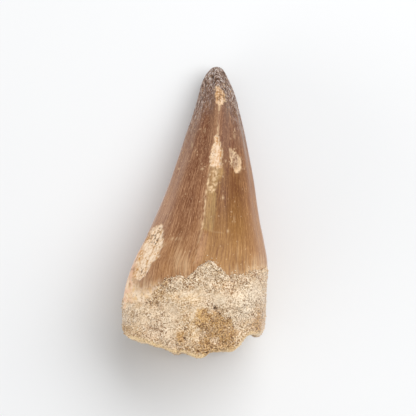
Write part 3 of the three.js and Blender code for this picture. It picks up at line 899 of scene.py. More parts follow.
ROCK_COLUMNS = 460
SEAT_ROWS = 8
WALL_ROWS = 104
END_ROWS = 90
SEAT_GAP = 0.06  # between the root and the seat round it
CRUST_EDGE = 0.12  # how far the rock stands proud of the crown at its rim
CRUST = 0.36  # and a little below it, on the front
CRUST_ROUND = 0.6  # over what height it comes up
RIM_THINNING = 3.0  # the rock's unevenness comes up over this height below the rim
EDGE_ROUND = 1.3  # rounding between the rock's side and its broken end
EDGE_START = 0.86  # where it starts, as a share of the way out
END_MIDDLE = 4.0  # the broken end closes round the middle of the section at this height
END_HOLLOW = 0.4  # how much further in the broken end lies than its edge
SIDE_TUCK = (0.1, 0.34)  # how far the right and the left side are pulled in at their widest
LEFT_SHOULDER = 0.5  # how far the rock stands out above its left side
SWELL_SHARE = 0.75  # how much of the swell and the lumps shows
STROKE_SLANT = math.radians(38)

# Noises: height, size, seed. The first wears the rock, the second frays the large stain's outline.
WORN_NOISE = [(1.3, 2.6, 97), (0.8, 1.1, 98)]
STAIN_NOISE = [(0.9, 1.5, 90), (0.6, 0.6, 91)]

# Small pits in the front: x, y, radius across, radius along, depth.
PITS = [
    (4.1, 10.4, 0.42, 0.3, 0.9), (-4.8, 15.9, 0.35, 0.5, 0.6), (-11.9, 9.0, 0.2, 1.2, 0.5),
    (-2.0, 4.4, 0.5, 0.5, 0.6), (10.2, 10.6, 0.3, 0.5, 0.5), (7.4, 15.6, 0.4, 0.3, 0.4),
    (-3.0, 12.6, 0.3, 0.3, 0.5), (-7.4, 11.0, 0.4, 0.4, 0.5), (-1.9, 6.2, 0.25, 0.25, 0.5),
    (12.6, 9.4, 0.25, 0.5, 0.5), (2.4, 13.6, 0.3, 0.25, 0.4), (6.0, 3.4, 0.5, 0.4, 0.5),
]

# The large brown stain's outline: x, y.
BROWN_STAIN = [
    (0.3, 9.8), (1.2, 10.5), (2.6, 9.9), (5.0, 9.2), (6.3, 8.2), (8.0, 7.3), (9.0, 5.5), (8.2, 2.6),
    (5.5, 1.0), (1.6, 0.8), (-0.2, 2.2), (0.5, 4.4), (1.4, 6.0), (0.4, 7.3),
]

# Smaller brown stains, smooth pale patches and ash-grey sand: x, y, radii, strength.
STAINS = [
    (5.4, 5.4, 2.6, 2.2, 0.4), (-2.6, 4.4, 0.9, 1.3, 1.0), (-1.6, 2.4, 1.6, 0.8, 0.4),
    (-13.5, 5.9, 1.1, 1.1, 0.75), (12.2, 6.8, 1.8, 2.2, 0.6), (-6.6, 13.0, 2.2, 1.8, 0.4),
    (-6.3, 9.4, 1.4, 2.2, 0.1), (12.6, 9.4, 1.2, 1.6, 0.3), (-5.6, 15.5, 0.9, 0.8, 0.9),
    (4.4, 17.4, 2.6, 2.0, 0.38), (-0.6, 14.6, 1.2, 1.6, 0.25), (7.0, 14.4, 1.2, 1.2, 0.3),
]
SMOOTH_PATCHES = [
    (0.3, 9.6, 2.3, 3.6, 0.75), (-0.9, 13.0, 4.2, 1.1, 0.9), (4.9, 12.3, 1.2, 1.2, 1.0),
    (8.7, 12.6, 1.5, 1.1, 1.0), (-7.5, 5.8, 3.6, 3.2, 0.4), (-4.5, 10.4, 2.5, 1.6, 0.7),
    (0.1, 5.2, 1.2, 1.4, 0.7), (-12.0, 11.2, 2.6, 1.4, 1.0), (-10.6, 8.4, 1.6, 2.4, 0.4),
]
ASHEN_PATCHES = [
    (4.2, 17.2, 3.8, 2.4, 0.9), (-4.0, 14.6, 2.2, 1.8, 0.6), (11.8, 12.4, 2.6, 3.0, 0.9),
    (-13.2, 8.4, 1.2, 3.0, 0.4), (9.4, 9.2, 1.6, 1.8, 0.6), (-3.2, 9.0, 1.2, 2.4, 0.4),
]

# Rosy, yellow and lighter rock: x, y, radii, strength. Some of the lighter rock on the left, and
# the strong yellow at the lower left corner, is painted light where the rock turns away from the
# lamps.
ROSY_PATCHES = [
    (-8.5, 6.0, 3.6, 3.0, 1.0), (12.8, 8.0, 1.4, 4.0, 0.7), (-10.8, 12.2, 1.6, 1.4, 0.4),
    (-12.8, 10.9, 3.2, 0.9, 1.4), (6.4, 14.6, 1.2, 1.6, 0.5), (3.0, 9.4, 1.0, 1.0, 0.4),
]
YELLOW_PATCHES = [
    (-2.5, 12.2, 4.5, 1.2, 0.5), (-0.6, 6.6, 2.0, 3.4, 0.9), (3.6, 9.4, 2.0, 1.0, 0.7),
    (-11.8, 5.2, 0.8, 0.9, 1.0), (-9.5, 8.0, 5.0, 5.0, 0.45), (-3.0, 6.8, 2.0, 2.0, 0.4),
    # (-12.4, 5.2) is the corner's own yellow, made strong enough to stand in for the light that the
    # corner turns away from.
    (-7.5, 13.4, 2.6, 2.0, 0.6), (9.6, 2.6, 2.0, 1.6, 0.4), (-12.4, 5.2, 2.2, 1.6, 1.5),
    (5.0, 8.2, 1.4, 0.8, 0.6), (-11.6, 11.4, 2.0, 1.4, 0.6), (-13.6, 11.0, 2.4, 1.0, 0.8),
    (10.6, 4.9, 2.4, 0.9, 0.7), (-7.0, 3.4, 4.0, 0.7, 0.6),
]
CHALK_AND_LIGHT_PATCHES = [
    (-9.4, 8.6, 3.6, 4.4, 0.45), (9.2, 9.6, 2.4, 2.4, 0.9), (11.4, 12.6, 2.6, 3.2, 0.6),
    # (-14.6, 9.6) lightens the rock's far left edge: chalk and painted light.
    (-14.6, 9.6, 2.0, 4.0, 0.7), (-5.0, 8.0, 2.4, 3.0, 0.6), (-5.0, 4.0, 3.0, 2.0, 0.4),
    (4.4, 11.4, 2.4, 1.4, 0.8), (-2.6, 14.6, 1.4, 1.4, 0.7),
]
PATCHES = {
    "stain": STAINS, "smooth": SMOOTH_PATCHES, "ashen": ASHEN_PATCHES, "chalky": CHALK_AND_LIGHT_PATCHES,
    "rosy": ROSY_PATCHES, "yellow": YELLOW_PATCHES,
}

# White flecks on the brown stain: x, y, radii, strength.
FLECKS = [
    (1.9, 3.8, 0.4, 0.7, 1.0), (2.7, 4.6, 0.5, 0.4, 0.9), (5.1, 2.5, 0.5, 0.45, 1.0),
    (8.2, 7.4, 0.7, 1.1, 0.6), (10.6, 6.6, 0.4, 0.6, 0.5), (-2.2, 4.6, 0.3, 0.5, 0.7),
    (3.4, 6.8, 0.5, 0.3, 0.5),
]


def smoothness(points):
    """How worn the rock is where no patch is painted, from 0 to 0.8: two sizes of noise."""
    return 0.8 * ease(uneven(points, WORN_NOISE, 0.5))


def sandy_relief(points, smooth):
    """Height of the sand and a mask of the gaps between its domes, which the material darkens as
    darker matrix and painted shade: domes over scattered centres in two sizes, and noise.
    Where smooth is 1 the surface is worn nearly level."""
    near, tag = scattered(points, 0.5, 81)
    pebble, size = scattered(points, 1.7, 85)
    dome = np.sqrt(clip(1 - (near / 0.8) ** 2)) * mix(0.4, 1.0, tag)
    height = 0.06 * dome + 0.08 * bell(pebble / 0.45) * ease(3 * size - 1.4) - 0.06
    height += 0.1 * layered(points, 0.9, 3, 89)
    return height * mix(1.0, 0.35, smooth), clip((near - 0.6) / 0.3) * (1 - 0.8 * smooth)


def strokes(points):
    """Short slanting strokes from 0 to 1: noise stretched along a line that rises to the right."""
    c, n = math.cos(STROKE_SLANT), math.sin(STROKE_SLANT)
    x, y, z = np.moveaxis(points, -1, 0)
    slanted = np.stack([(x * c + y * n) / 1.6, (y * c - x * n) / 0.34, z / 2], axis=-1)
    return clip(0.5 + noise(slanted, 1.0, 99))


def rock_patches(x, y, front):
    """The painted patches of each kind at a place on the front. The large stain has a ragged
    outline and is uneven inside."""
    fields = {name: clip(spots(x, y, table) * front) for name, table in PATCHES.items()}
    at = np.stack([x, y, 0 * x], axis=-1)
    large = filled(x, y, BROWN_STAIN, 1.5, uneven(at, STAIN_NOISE), 0.55) * front
    large *= clip(1.0 + 0.5 * noise(at, 1.9, 88))
    fields["stain"] = np.maximum(fields["stain"], 0.83 * large)
    return fields


def wall_foot(turn):
    """Where the rock's side ends and its edge starts to round."""
    return EDGE_ROUND + curve(BROKEN_EDGE, ring_point(turn, END_MIDDLE)[..., 0])


def rock_wall(turn, y, rim):
    """Points and fields of the rock's side at these turns and heights: the section plus a crust
    that starts thin at the rim, swell, lumps, sand and pits."""
    turn, y = np.broadcast_arrays(turn, y)
    n = np.sin(turn)
    p = ring_point(turn, y)
    x = p[..., 0]
    down = rim - y
    front = ease(0.5 + 2.5 * n)
    back = 1 - front
    fields = rock_patches(x, y, front)
    stain = fields["stain"]
    unpainted = (1 - ease(1.4 - down / 2.0)) * (1 - stain)
    smooth = np.maximum(fields["smooth"], 0.7 * smoothness(p) * unpainted)
    sand, crevice = sandy_relief(p, smooth)
    lumps = np.where(n > 0, lumps_at(FRONT_LUMPS, x, y), lumps_at(BACK_LUMPS, x, y))
    swell = SWELL_SHARE * (mix(0.2, 1.0, n * n) * swell_at(p) + np.abs(n) * lumps)
    thick = mix(0.35, 1.0, clip(down / RIM_THINNING))
    full = mix(CRUST_EDGE, CRUST, clip(n) ** 2)
    crust = mix(CRUST_EDGE, full, np.sqrt(clip(down / CRUST_ROUND)))
    pits = spots(x, y, PITS) * front
    relief = crust + thick * swell + mix(0.5, 1.0, clip(down / 0.8)) * sand - pits
    left = np.cos(turn) < 0
    relief -= mix(*SIDE_TUCK, left) * bell(n / 0.45) * ease(down / 2.5)
    relief += LEFT_SHOULDER * left * bell((n - 0.52) / 0.2) * ease(down / 3)
    stain = np.maximum(stain, back * ease(1.6 * noise(p, 3.5, 91)))
    chalky = fields["chalky"] * (1 - clip(1.2 * stain))
    fields |= {
        "stain": clip(stain * (1 + 0.3 * noise(p, 1.6, 90)) + 0.2 * noise(p, 1.2, 92)),
        "smooth": smooth,
        "ashen": np.maximum(fields["ashen"], back * ease(1.4 * noise(p, 4.2, 93))),
        "chalky": np.maximum(chalky, spots(x, y, FLECKS) * front),
        "stroke": strokes(p),
        # Gaps between the sand's domes and the pits are darkened: darker matrix and painted shade.
        "crevice": clip(0.4 * crevice + clip(2 * pits - 0.4)),
        # A yellow band along the broken edge, lightened as painted rim light.
        "edge": ease(1 - (y - curve(BROKEN_EDGE, x) - 0.4 - 0.5 * noise(p, 0.9, 94)) / 1.2),
    }
    return on_table(ring_point(turn, y, 0.0, relief)), fields


def rock_end(turn, share):
    """Points and fields of the broken end: share is 1 at the rock's side and 0 in the middle. Each
    point lies between the middle and the side, as deep as the edge's reach at its x, plus swell,
    hollows and sand. The rounding at the edge is painted like the front."""
    turn, share = np.broadcast_arrays(turn, share)
    edge, _ = rock_wall(turn[0], wall_foot(turn[0]), rim_height(turn[0]))
    x, _, z = np.moveaxis(mix(middle(END_MIDDLE), edge, share[..., None]), -1, 0)
    over = clip((share - EDGE_START) / (1 - EDGE_START))
    rounding = EDGE_ROUND * (1 - np.sqrt(1 - over * over))
    flat = np.stack([x, np.zeros(x.shape), z], axis=-1)
    smooth = smoothness(flat)
    sand, crevice = sandy_relief(flat, smooth)
    rough = np.maximum(END_HOLLOW + swell_at(flat) + lumps_at(END_HOLLOWS, x, z), 0.0)
    y = curve(BROKEN_EDGE, x) + rounding + (rough + 0.15 - 1.6 * sand) * (1 - over)
    front = ease(0.5 + 2.5 * np.sin(turn)) * over
    back = 1 - front
    fields = rock_patches(x, y, front)
    # The rounded edge is yellow and lightened: real yellow plus painted rim light.
    lit_edge_yellow = ease((share - 0.7) / 0.3) * (1 - 0.6 * clip(fields["stain"]))
    fields |= {
        "stain": np.maximum(ease(0.25 + 1.4 * noise(flat, 4.0, 95)) * back, fields["stain"]),
        "smooth": smooth,
        "ashen": np.maximum(ease(1.4 * noise(flat, 4.6, 96)) * back, fields["ashen"]),
        "chalky": 0.5 * over * fields["chalky"],
        "stroke": strokes(flat),
        "crevice": 0.4 * crevice,
        "edge": lit_edge_yellow,
        "yellow": clip(0.5 * over + fields["yellow"]),
    }
    return on_table(np.stack([x, y, z], axis=-1)), fields


def rock_surface():
    """Rings, poles and fields of the rock: out of its seat, over the rim, down the side and across
    the broken end."""
    turn = crowded_turns(ROCK_COLUMNS)
    rim = rim_height(turn)
    wall_share = (np.arange(WALL_ROWS) / (WALL_ROWS - 1))[:, None]
    wall, wall_fields = rock_wall(turn, mix(rim, wall_foot(turn), wall_share), rim)
    end_share = 1 - (np.arange(1, END_ROWS) / END_ROWS)[:, None]
    end, end_fields = rock_end(turn, end_share)
    seat_share = (np.arange(SEAT_ROWS) / SEAT_ROWS)[:, None]
    seat_y = mix(ROOT_END, rim, seat_share)
    seat = ring_point(turn, seat_y, root_inset(np.maximum(rim - TUCK - seat_y, 0)) - SEAT_GAP)
    rings = np.concatenate([on_table(seat), wall, end])
    plain = np.zeros(seat_y.shape)
    fields = {
        name: np.concatenate([plain, values, end_fields[name]])
        for name, values in wall_fields.items()
    }
    first = middle(ROOT_END, ROOT_BULGE) - (0.0, SEAT_GAP, 0.0)
    return rings, first, rings[-1].mean(axis=0), fields


def rock_material(s):
    """Cemented sand. Its ground colour drifts between tan, cream and chalk, with rosy, yellow and
    grey patches, and slanting strokes where it is smooth. Stains are brown, and the broken edge is
    yellow, lightened as painted rim light. Single grains are light or dark, more so in some places
    than in others, with thin dark marks between them. The gaps between grains and the pits are
    darkened as darker matrix and painted shade."""
    m = Shader("sandy_rock")
    place = m.place()
    breakup = m.steps(m.grainy(place, 800.0, 4.0, 0.65), 0.2, 0.8, -0.4, 0.4)
    stain, smooth, ashen = (
        m.steps(m.maths("ADD", m.own(name), breakup), 0.3, 0.7)
        for name in ("stain", "smooth", "ashen")
    )
    stops = [(0.3, s.tan), (0.5, s.buff), (0.68, s.cream), (0.9, s.chalk)]
    cells = {"Vector": place, "Scale": 1 / s.grain_size}
    near = m.node("ShaderNodeTexVoronoi", cells, "Distance")
    tint = m.grainy(place, 640.0, 2.0, 0.6)
    stroke = m.times(m.steps(m.own("stroke"), 0.3, 0.8), smooth)
    patchy = m.steps(m.grainy(place, 2200.0, 3.0, 0.7), 0.43, 0.57)
    colour = m.paint(m.ramp(m.grainy(place, 520.0, 4.0, 0.65), stops), [
        (m.steps(near, 0.35, 0.05, 0.0, 0.2), 1, s.chalk),
        (m.steps(tint, 0.52, 0.64, 0.0, 0.4), 1, s.yellow),
        (m.steps(tint, 0.46, 0.36, 0.0, 0.35), 1, s.rosy),
        (ashen, 0.5, s.grey), (smooth, 0.7, s.plaster),
        ("rosy", 0.6, s.rosy), ("yellow", 0.75, s.yellow),
        (stroke, 0.45, s.chalk), ("chalky", 0.7, s.chalk),
        (stain, 0.85, m.blend(patchy, s.stain, s.ochre)),
    ])
    fine = m.grainy(place, 3600.0, 1.0, 0.6)
    cluster = m.steps(m.grainy(place, 380.0, 3.0, 0.6), 0.4, 0.6, 0.65, 1.0)
    calm = m.times(cluster, m.steps(smooth, 0.0, 1.0, 1.0, 0.5))
    bright = m.steps(m.grainy(place, 900.0, 3.0, 0.6), 0.44, 0.56, 0.6, 1.3)
    light = m.times(m.steps(fine, 0.51, 0.6), m.times(calm, bright))
    light = m.times(light, m.steps(stain, 0.0, 1.0, 1.0, 0.35))
    marks = rock_marks(m, place, stain, calm)
    colour = m.paint(m.blend(light, colour, s.chalk), [
        (m.times(m.steps(fine, 0.49, 0.38), calm), 1, s.shade),
        # Painted shade in the gaps and pits, together with the dark marks.
        (m.most(marks, m.own("crevice")), 0.85, s.shade),
    ], "MULTIPLY")
    # The broken edge's yellow, lightened as painted rim light.
    edge = m.times(m.own("edge"), m.steps(fine, 0.4, 0.55, 0.45, 0.9))
    edge = m.times(edge, m.steps(stain, 0.3, 1.0, 1.0, 0.3))
    normal = m.bumped(fine, 0.5, 0.00008, m.bumped(marks, 0.5, -0.0001))
    colour = m.blend(edge, colour, s.lit_ochre_edge)
    return m.finish(colour, s.roughness, normal, {"Sheen Weight": s.bloom})


def rock_marks(m, place, stain, calm):
    """Thin dark marks, short and long, from 0 to 1: lines where a noise is near its middle, kept
    where another one is high. The short ones are more common on the stain."""
    turned = {"Vector": place, "Rotation": (0.0, 0.0, -0.66), "Scale": (0.6, 1.2, 1.0)}
    turned = m.node("ShaderNodeMapping", turned)
    short = m.near_middle(m.grainy(turned, 1900.0, 2.0, 0.5), 0.08, 0.02)
    kept = m.steps(m.grainy(place, 1700.0, 2.0, 0.6), 0.48, 0.62)
    short = m.times(short, m.times(m.most(kept, m.times(stain, 0.5)), calm))
    long = m.near_middle(m.grainy(turned, 1000.0, 3.0, 0.6), 0.035, 0.01)
    kept = m.steps(m.grainy(place, 700.0, 2.0, 0.6), 0.47, 0.57)
    return m.most(short, m.times(long, m.times(kept, calm)))


# ---- Loose-looking grains on the rock and along its rim ----

GRAIN_FIELDS = ("stain", "ashen", "chalky")  # what a grain takes over from the ground under it
SQUASH = ((0.85, 0.7, 0.55), (1.25, 1.0, 0.9))  # least and most stretch along a grain's three axes
BUMPS = (0.85, 1.12)  # least and most distance of a grain's corner from its middle
SMALL_GRAINS = 1.6  # above 1, small grains outnumber large ones
SINK = (-0.8, -0.1)  # most and least depth of a grain's middle in the rock, in its own radii
CLEARANCE = 0.6  # grains keep about this far from the surface that the tooth rests on
RIM_SINK = 0.25  # rim grains start this far under the rim
RIM_SPREAD = 0.3  # and thin out upwards over this height
RIM_LIFT = 0.06  # how far their centres lie off the enamel
NECK_LOSS = 0.75  # the share of them that the bare neck has lost


def icosahedron():
    """The 12 corners, at distance 1, and 20 faces of an icosahedron, from golden rectangles."""
    g = (1 + math.sqrt(5)) / 2
    corners = np.array(
        [(-1, g, 0), (1, g, 0), (-1, -g, 0), (1, -g, 0), (0, -1, g), (0, 1, g),
         (0, -1, -g), (0, 1, -g), (g, 0, -1), (g, 0, 1), (-g, 0, -1), (-g, 0, 1)], float
    )
    faces = np.array(
        [(0, 11, 5), (0, 5, 1), (0, 1, 7), (0, 7, 10), (0, 10, 11), (1, 5, 9), (5, 11, 4),
         (11, 10, 2), (10, 7, 6), (7, 1, 8), (3, 9, 4), (3, 4, 2), (3, 2, 6), (3, 6, 8),
         (3, 8, 9), (4, 9, 5), (2, 4, 11), (6, 2, 10), (8, 6, 7), (9, 8, 1)]
    )
    return corners / np.linalg.norm(corners[0]), faces


def random_turns(count, random):
    """Rotation matrices spread evenly over all directions, from unit quaternions."""
    q = random.normal(size=(count, 4))
    w, x, y, z = (q / np.linalg.norm(q, axis=1, keepdims=True)).T
    rows = [
        [1 - 2 * (y * y + z * z), 2 * (x * y - w * z), 2 * (x * z + w * y)],
        [2 * (x * y + w * z), 1 - 2 * (x * x + z * z), 2 * (y * z - w * x)],
        [2 * (x * z - w * y), 2 * (y * z + w * x), 1 - 2 * (x * x + y * y)],
    ]
    return np.moveaxis(np.array(rows), -1, 0)


def strewn(rings, weights, count, random):
    """Random places on a surface of rings, as many on a face as its area times its weight asks:
    the points, the outward directions there and the row and column of each."""
    a, b = rings[:-1], np.roll(rings, -1, axis=1)[:-1]
    d = rings[1:]
    across = np.cross(b - a, d - a)
    area = np.linalg.norm(across, axis=-1)
    chance = (area * weights[:-1]).ravel()
    pick = random.choice(chance.size, count, p=chance / chance.sum())
    row, col = np.unravel_index(pick, area.shape)
    s, t = random.random((2, count, 1))
    points = a[row, col] + s * (b - a)[row, col] + t * (d - a)[row, col]
    out = -across[row, col] / area[row, col][:, None]
    return points, out, row, col


def grain_points(centres, radii, random):
    """Corners of one uneven, flattened icosahedron round each centre."""
    corners, _ = icosahedron()
    count = len(centres)
    squash = random.uniform(*SQUASH, (count, 3))
    bumps = random.uniform(*BUMPS, (count, len(corners), 1))
    local = corners * bumps * squash[:, None]
    turned = np.einsum("nij,nkj->nki", random_turns(count, random), local)
    return centres[:, None] + turned * radii[:, None, None]


def grain_faces(count):
    """The faces of that many icosahedra in a row."""
    corners, faces = icosahedron()
    return (faces + np.arange(count)[:, None, None] * len(corners)).reshape(-1, 3).tolist()


def grain_mesh(name, centres, radii, fields, random):
    """One piece from grains round the centres. fields has a number for each grain, and each gets a
    random tone."""
    count = len(centres)
    corners = on_table(grain_points(centres, radii, random)).reshape(-1, 3)
    fields = {**fields, "tone": random.random(count)}
    each = {key: np.repeat(values, len(corners) // count) for key, values in fields.items()}
    return new_mesh(name, corners, grain_faces(count), each)


def grains(name, ground, count, smallest, largest, seed, wanted):
    """Joined grains strewn over the ground, which is what rock_surface gives. wanted is a function
    of its fields that says how many of them a place has. On steep ground they are smaller and lie
    deeper."""
    random = np.random.default_rng(seed)
    rings = ground[0][SEAT_ROWS:]
    fields = {key: values[SEAT_ROWS:] for key, values in ground[-1].items()}
    off_table = ease(rings[..., 2] / CLEARANCE - 0.5) * (1 - 0.8 * fields["edge"])
    points, out, row, col = strewn(rings, wanted(fields) * off_table, count, random)
    radii = smallest * (largest / smallest) ** random.random(count) ** SMALL_GRAINS
    up = np.abs(out[:, 2])
    radii *= mix(0.6, 1.0, up)
    lift = radii * (random.uniform(*SINK, count) - 0.4 * (1 - up))
    centres = points + out * lift[:, None]
    under = {key: fields[key][row, col] for key in GRAIN_FIELDS}
    return grain_mesh(name, centres, radii, under, random)


def rim_grains(name, count, smallest, largest, seed):
    """Joined grains on the enamel just above the rock's rim, thinning out upwards. Few of them lie
    on the bare neck."""
    random = np.random.default_rng(seed)
    turn = random.random(count) * 2 * math.pi
    y = rim_height(turn) - RIM_SINK + random.exponential(RIM_SPREAD, count)
    centres = ring_point(turn, y, 0.0, RIM_LIFT)
    radii = random.uniform(smallest, largest, count)
    on_neck = inside(centres[:, 0], centres[:, 1], BARE_NECK) * np.sin(turn) > 0
    lost = on_neck & (random.random(count) < NECK_LOSS)
    keep = (centres[:, 2] > CLEARANCE) & ~lost
    plain = {key: np.zeros(keep.sum()) for key in GRAIN_FIELDS}
    return grain_mesh(name, centres[keep], radii[keep], plain, random)


def on_rough(fields):
    """Coarse grains lie where the rock isn't smooth."""
    return 0.02 + (1 - fields["smooth"]) ** 2


def on_sand(fields):
    """Fine grains lie nearly everywhere, and more of them on the stains."""
    return 0.1 + (1 - fields["smooth"]) ** 2 * mix(1.0, 1.6, fields["stain"])


def grain_material(s):
    """Single grains of sand, each in its own tone from white through tan to brown."""
    m = Shader("sand_grain")
    stops = [(0.0, s.stain), (0.08, s.tan), (0.3, s.buff), (0.6, s.cream), (1.0, s.chalk)]
    coats = [("ashen", 0.45, s.grey), ("chalky", 0.6, s.chalk), ("stain", 0.6, s.ochre)]
    colour = m.paint(m.ramp(m.own("tone"), stops), coats)
    fine = m.grainy(m.place(), 5000.0, 3.0, 0.6)
    colour = m.blend(m.steps(fine, 0.5, 0.3, 0.0, 0.5), colour, s.shade, "MULTIPLY")
    return m.finish(colour, s.grain_roughness, m.bumped(fine, 0.3, 0.00004))


# ---- Settings, as the sidebar shows them ----


def from_screen(red, green, blue):
    """A screen's colour from 0 to 255, as the linear colour that shaders use: the sRGB curve."""
    share = np.array([red, green, blue]) / 255
    linear = np.where(share <= 0.04045, share / 12.92, ((share + 0.055) / 1.055) ** 2.4)
    return tuple(float(v) for v in linear)


def colour_of(name, description, red, green, blue):
    """A colour property with that default."""
    default = from_screen(red, green, blue)
    return FloatVectorProperty(
        name=name, description=description, subtype="COLOR", size=3, min=0, max=1, default=default
    )


def length_of(name, description, millimetres):
    """A length property with that default."""
    return FloatProperty(
        name=name, description=description, unit="LENGTH", min=0, precision=5,
        default=millimetres * MM,
    )


def share_of(name, description, default):
    """A property from 0 to 1 with that default."""
    return FloatProperty(
        name=name, description=description, subtype="FACTOR", min=0, max=1, default=default
    )


def amount_of(name, description, default, least=0.0):
    """A plain number property with that default."""
    return FloatProperty(name=name, description=description, min=least, default=default)


def angle_of(name, description, degrees):
    """An angle property with that default."""
    return FloatProperty(
        name=name, description=description, subtype="ANGLE", default=math.radians(degrees)
    )


def count_of(name, description, default):
    """A property that counts pieces, with that default."""
    return IntProperty(name=name, description=description, min=1, default=default)


class EnamelSettings(PropertyGroup):
    """Sizes and colours of the tooth."""

    ridge_height: length_of("Ridge height", "How far the cutting ridges stand up", 0.4)
    line_depth: length_of("Line depth", "Depth of the fine lines down the crown", 0.03)
    wrinkle_height: length_of("Wrinkle height", "Height of the net of wrinkles at the tip", 0.07)
    chip_depth: length_of("Chip depth", "How much enamel is missing in a chip", 0.42)
    roughness: share_of("Roughness", "Roughness of the worn enamel", 0.4)
    ior: amount_of("IOR", "Refractive index of apatite", 1.6, 1.0)
    shine: share_of("Shine", "Strength of the reflections", 0.16)
    bloom: share_of("Bloom", "Light haze at grazing angles", 0.4)
    tan: colour_of("Tan", "Enamel at the rim", 173, 127, 83)
    honey: colour_of("Honey", "Enamel a little above the rim", 153, 107, 67)
    brown: colour_of("Brown", "Enamel in the middle", 140, 92, 57)
    umber: colour_of("Umber", "Enamel in the upper part", 98, 67, 55)
    taupe: colour_of("Taupe", "Enamel at the tip", 92, 76, 70)
    rust: colour_of("Rust", "Reddish dark patches", 104, 58, 34)
    # Also the colour of the painted highlight bands by the ridge.
    streak: colour_of("Streak", "Light lines down the crown", 194, 150, 112)
    gilt: colour_of("Gilt", "Light lines on the golden side", 190, 142, 88)
    # The two flank colours are painted rim light on the crown's sides.
    flank: colour_of("Flank", "Light sides of the crown", 188, 146, 118)
    rim_lit_flank_high: colour_of("High flank", "Light sides further up", 138, 111, 98)
    amber: colour_of("Amber", "Golden side near the rim", 163, 118, 60)
    golden_brown: colour_of("Golden brown", "Golden side of the crown", 108, 63, 18)
    olive: colour_of("Olive", "Worn stripe beside the ridge", 159, 125, 76)
    # Painted highlight on the wrinkles' crests and painted shade between them.
    ash: colour_of("Ash", "Crests of the wrinkles", 204, 196, 190)
    valley_shade: colour_of("Valley", "Between the wrinkles", 46, 30, 24)
    pale: colour_of("Pale", "Worn flecks and lime on the enamel", 220, 188, 148)
    neck: colour_of("Neck", "Bare neck below the enamel", 228, 190, 140)
    peach: colour_of("Peach", "Thin enamel on the left edge", 230, 178, 142)
    cream: colour_of("Cream", "Bare dentine", 226, 190, 150)
    ivory: colour_of("Ivory", "Lightest dentine", 244, 220, 192)
    golden: colour_of("Golden", "Stained dentine", 192, 136, 70)
    pore: colour_of("Pore", "Pores in the dentine", 96, 68, 44)


class RockSettings(PropertyGroup):
    """Sizes and colours of the rock and its sand."""

    grain_size: length_of("Grain size", "Spacing of the sand grains", 0.5)
    coarse_radius: length_of("Coarse grain", "Radius of the largest grains", 0.26)
    fine_radius: length_of("Fine grain", "Radius of the smallest grains", 0.07)
    coarse_count: count_of("Coarse grains", "How many coarse grains", 1500)
    fine_count: count_of("Fine grains", "How many fine grains", 6000)
    rim_count: count_of("Rim grains", "How many grains are tried along the rim", 900)
    roughness: share_of("Roughness", "Roughness of the rock", 0.92)
    grain_roughness: share_of("Grain roughness", "Roughness of single grains", 0.7)
    bloom: share_of("Bloom", "Light haze at grazing angles", 0.4)
    tan: colour_of("Tan", "Darker sand", 198, 163, 126)
    buff: colour_of("Buff", "Usual sand", 213, 185, 150)
    cream: colour_of("Cream", "Light sand", 231, 207, 174)
    chalk: colour_of("Chalk", "White sand", 242, 225, 200)
    grey: colour_of("Grey", "Ash-grey sand", 200, 188, 168)
    plaster: colour_of("Plaster", "Smooth cemented patches", 228, 202, 168)
    stain: colour_of("Stain", "Brown stain", 146, 97, 36)
    ochre: colour_of("Ochre", "Yellow-brown stain", 222, 178, 108)
    # The broken edge's yellow, lightened as painted rim light.
    lit_ochre_edge: colour_of("Edge", "Broken edge", 244, 212, 158)
    yellow: colour_of("Yellow", "Yellow patches", 222, 182, 124)
    rosy: colour_of("Rosy", "Rosy patches", 230, 186, 148)
    shade: colour_of("Shade", "What darkens the ground between the grains", 142, 110, 64)


class StageSettings(PropertyGroup):
    """Floor, light and camera."""

    floor_size: length_of("Floor size", "Width of the floor", 3000.0)
    floor: colour_of("Floor", "Colour of the floor", 234, 235, 236)
    key_power: amount_of("Key light", "Power of the soft light in watts", 5.6)
    key_width: length_of("Key width", "Width of the soft light", 1020.0)
    key_depth: length_of("Key depth", "Height of the soft light", 510.0)
    key_distance: length_of("Key distance", "From the tooth to the soft light", 700.0)
    key_bearing: angle_of("Key bearing", "Direction of the light, from +X towards +Y", 42)
    key_height: angle_of("Key height", "Angle of the light above the floor", 50)
    fill_power: amount_of("Fill light", "Power of the low fill light in watts", 12.0)
    fill_width: length_of("Fill width", "Width of the fill light", 2200.0)
    fill_depth: length_of("Fill depth", "Height of the fill light", 550.0)
    fill_distance: length_of("Fill distance", "From the tooth to the fill light", 1500.0)
    fill_bearing: angle_of("Fill bearing", "Direction of the fill light, from +X towards +Y", 205)
    fill_height: angle_of("Fill height", "Angle of the fill light above the floor", 12)
    sky: amount_of("Sky", "Strength of the white surroundings", 0.45)
    camera_height: length_of("Camera height", "From the floor to the camera", 1200.0)
    view_width: length_of("View width", "What the picture takes in across, at the tooth", 83.2)


# ---- Operators ----

BODY = "root"
FLOOR_DROP = 0.02  # how far the floor lies below the tooth
AIM = (2.7, 30.2)  # the place that the camera looks down on
FOCUS_HEIGHT = 9.0  # the height at which the picture is as wide as the settings say


def settle(piece, material, slot, *nodes):
    """Gives a finished piece its material, and makes it ride on the tooth's body and stand for the
    CAD nodes. The slot is not used."""
    piece.data.materials.append(material)
    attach(piece, BODY)
    if nodes:
        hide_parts(*nodes)


class TOOTH_OT_enamel(Operator):
    """Makes the tooth: crown, chips, wrinkles and root"""

    bl_idname = "tooth.enamel"
    bl_label = "Tooth"

    def execute(self, context):
        settings = context.scene.tooth_enamel
        piece = skin("tooth_enamel", *tooth_surface(settings))
        settle(piece, enamel_material(settings), "enamel", "tooth")
        return {"FINISHED"}


class TOOTH_OT_rock(Operator):
    """Makes the sandy rock that the root sits in"""

    bl_idname = "tooth.rock"
    bl_label = "Rock"

    def execute(self, context):
        piece = skin("rock_surface", *rock_surface())
        settle(piece, rock_material(context.scene.tooth_rock), "sandy_rock", "rock_matrix")
        return {"FINISHED"}


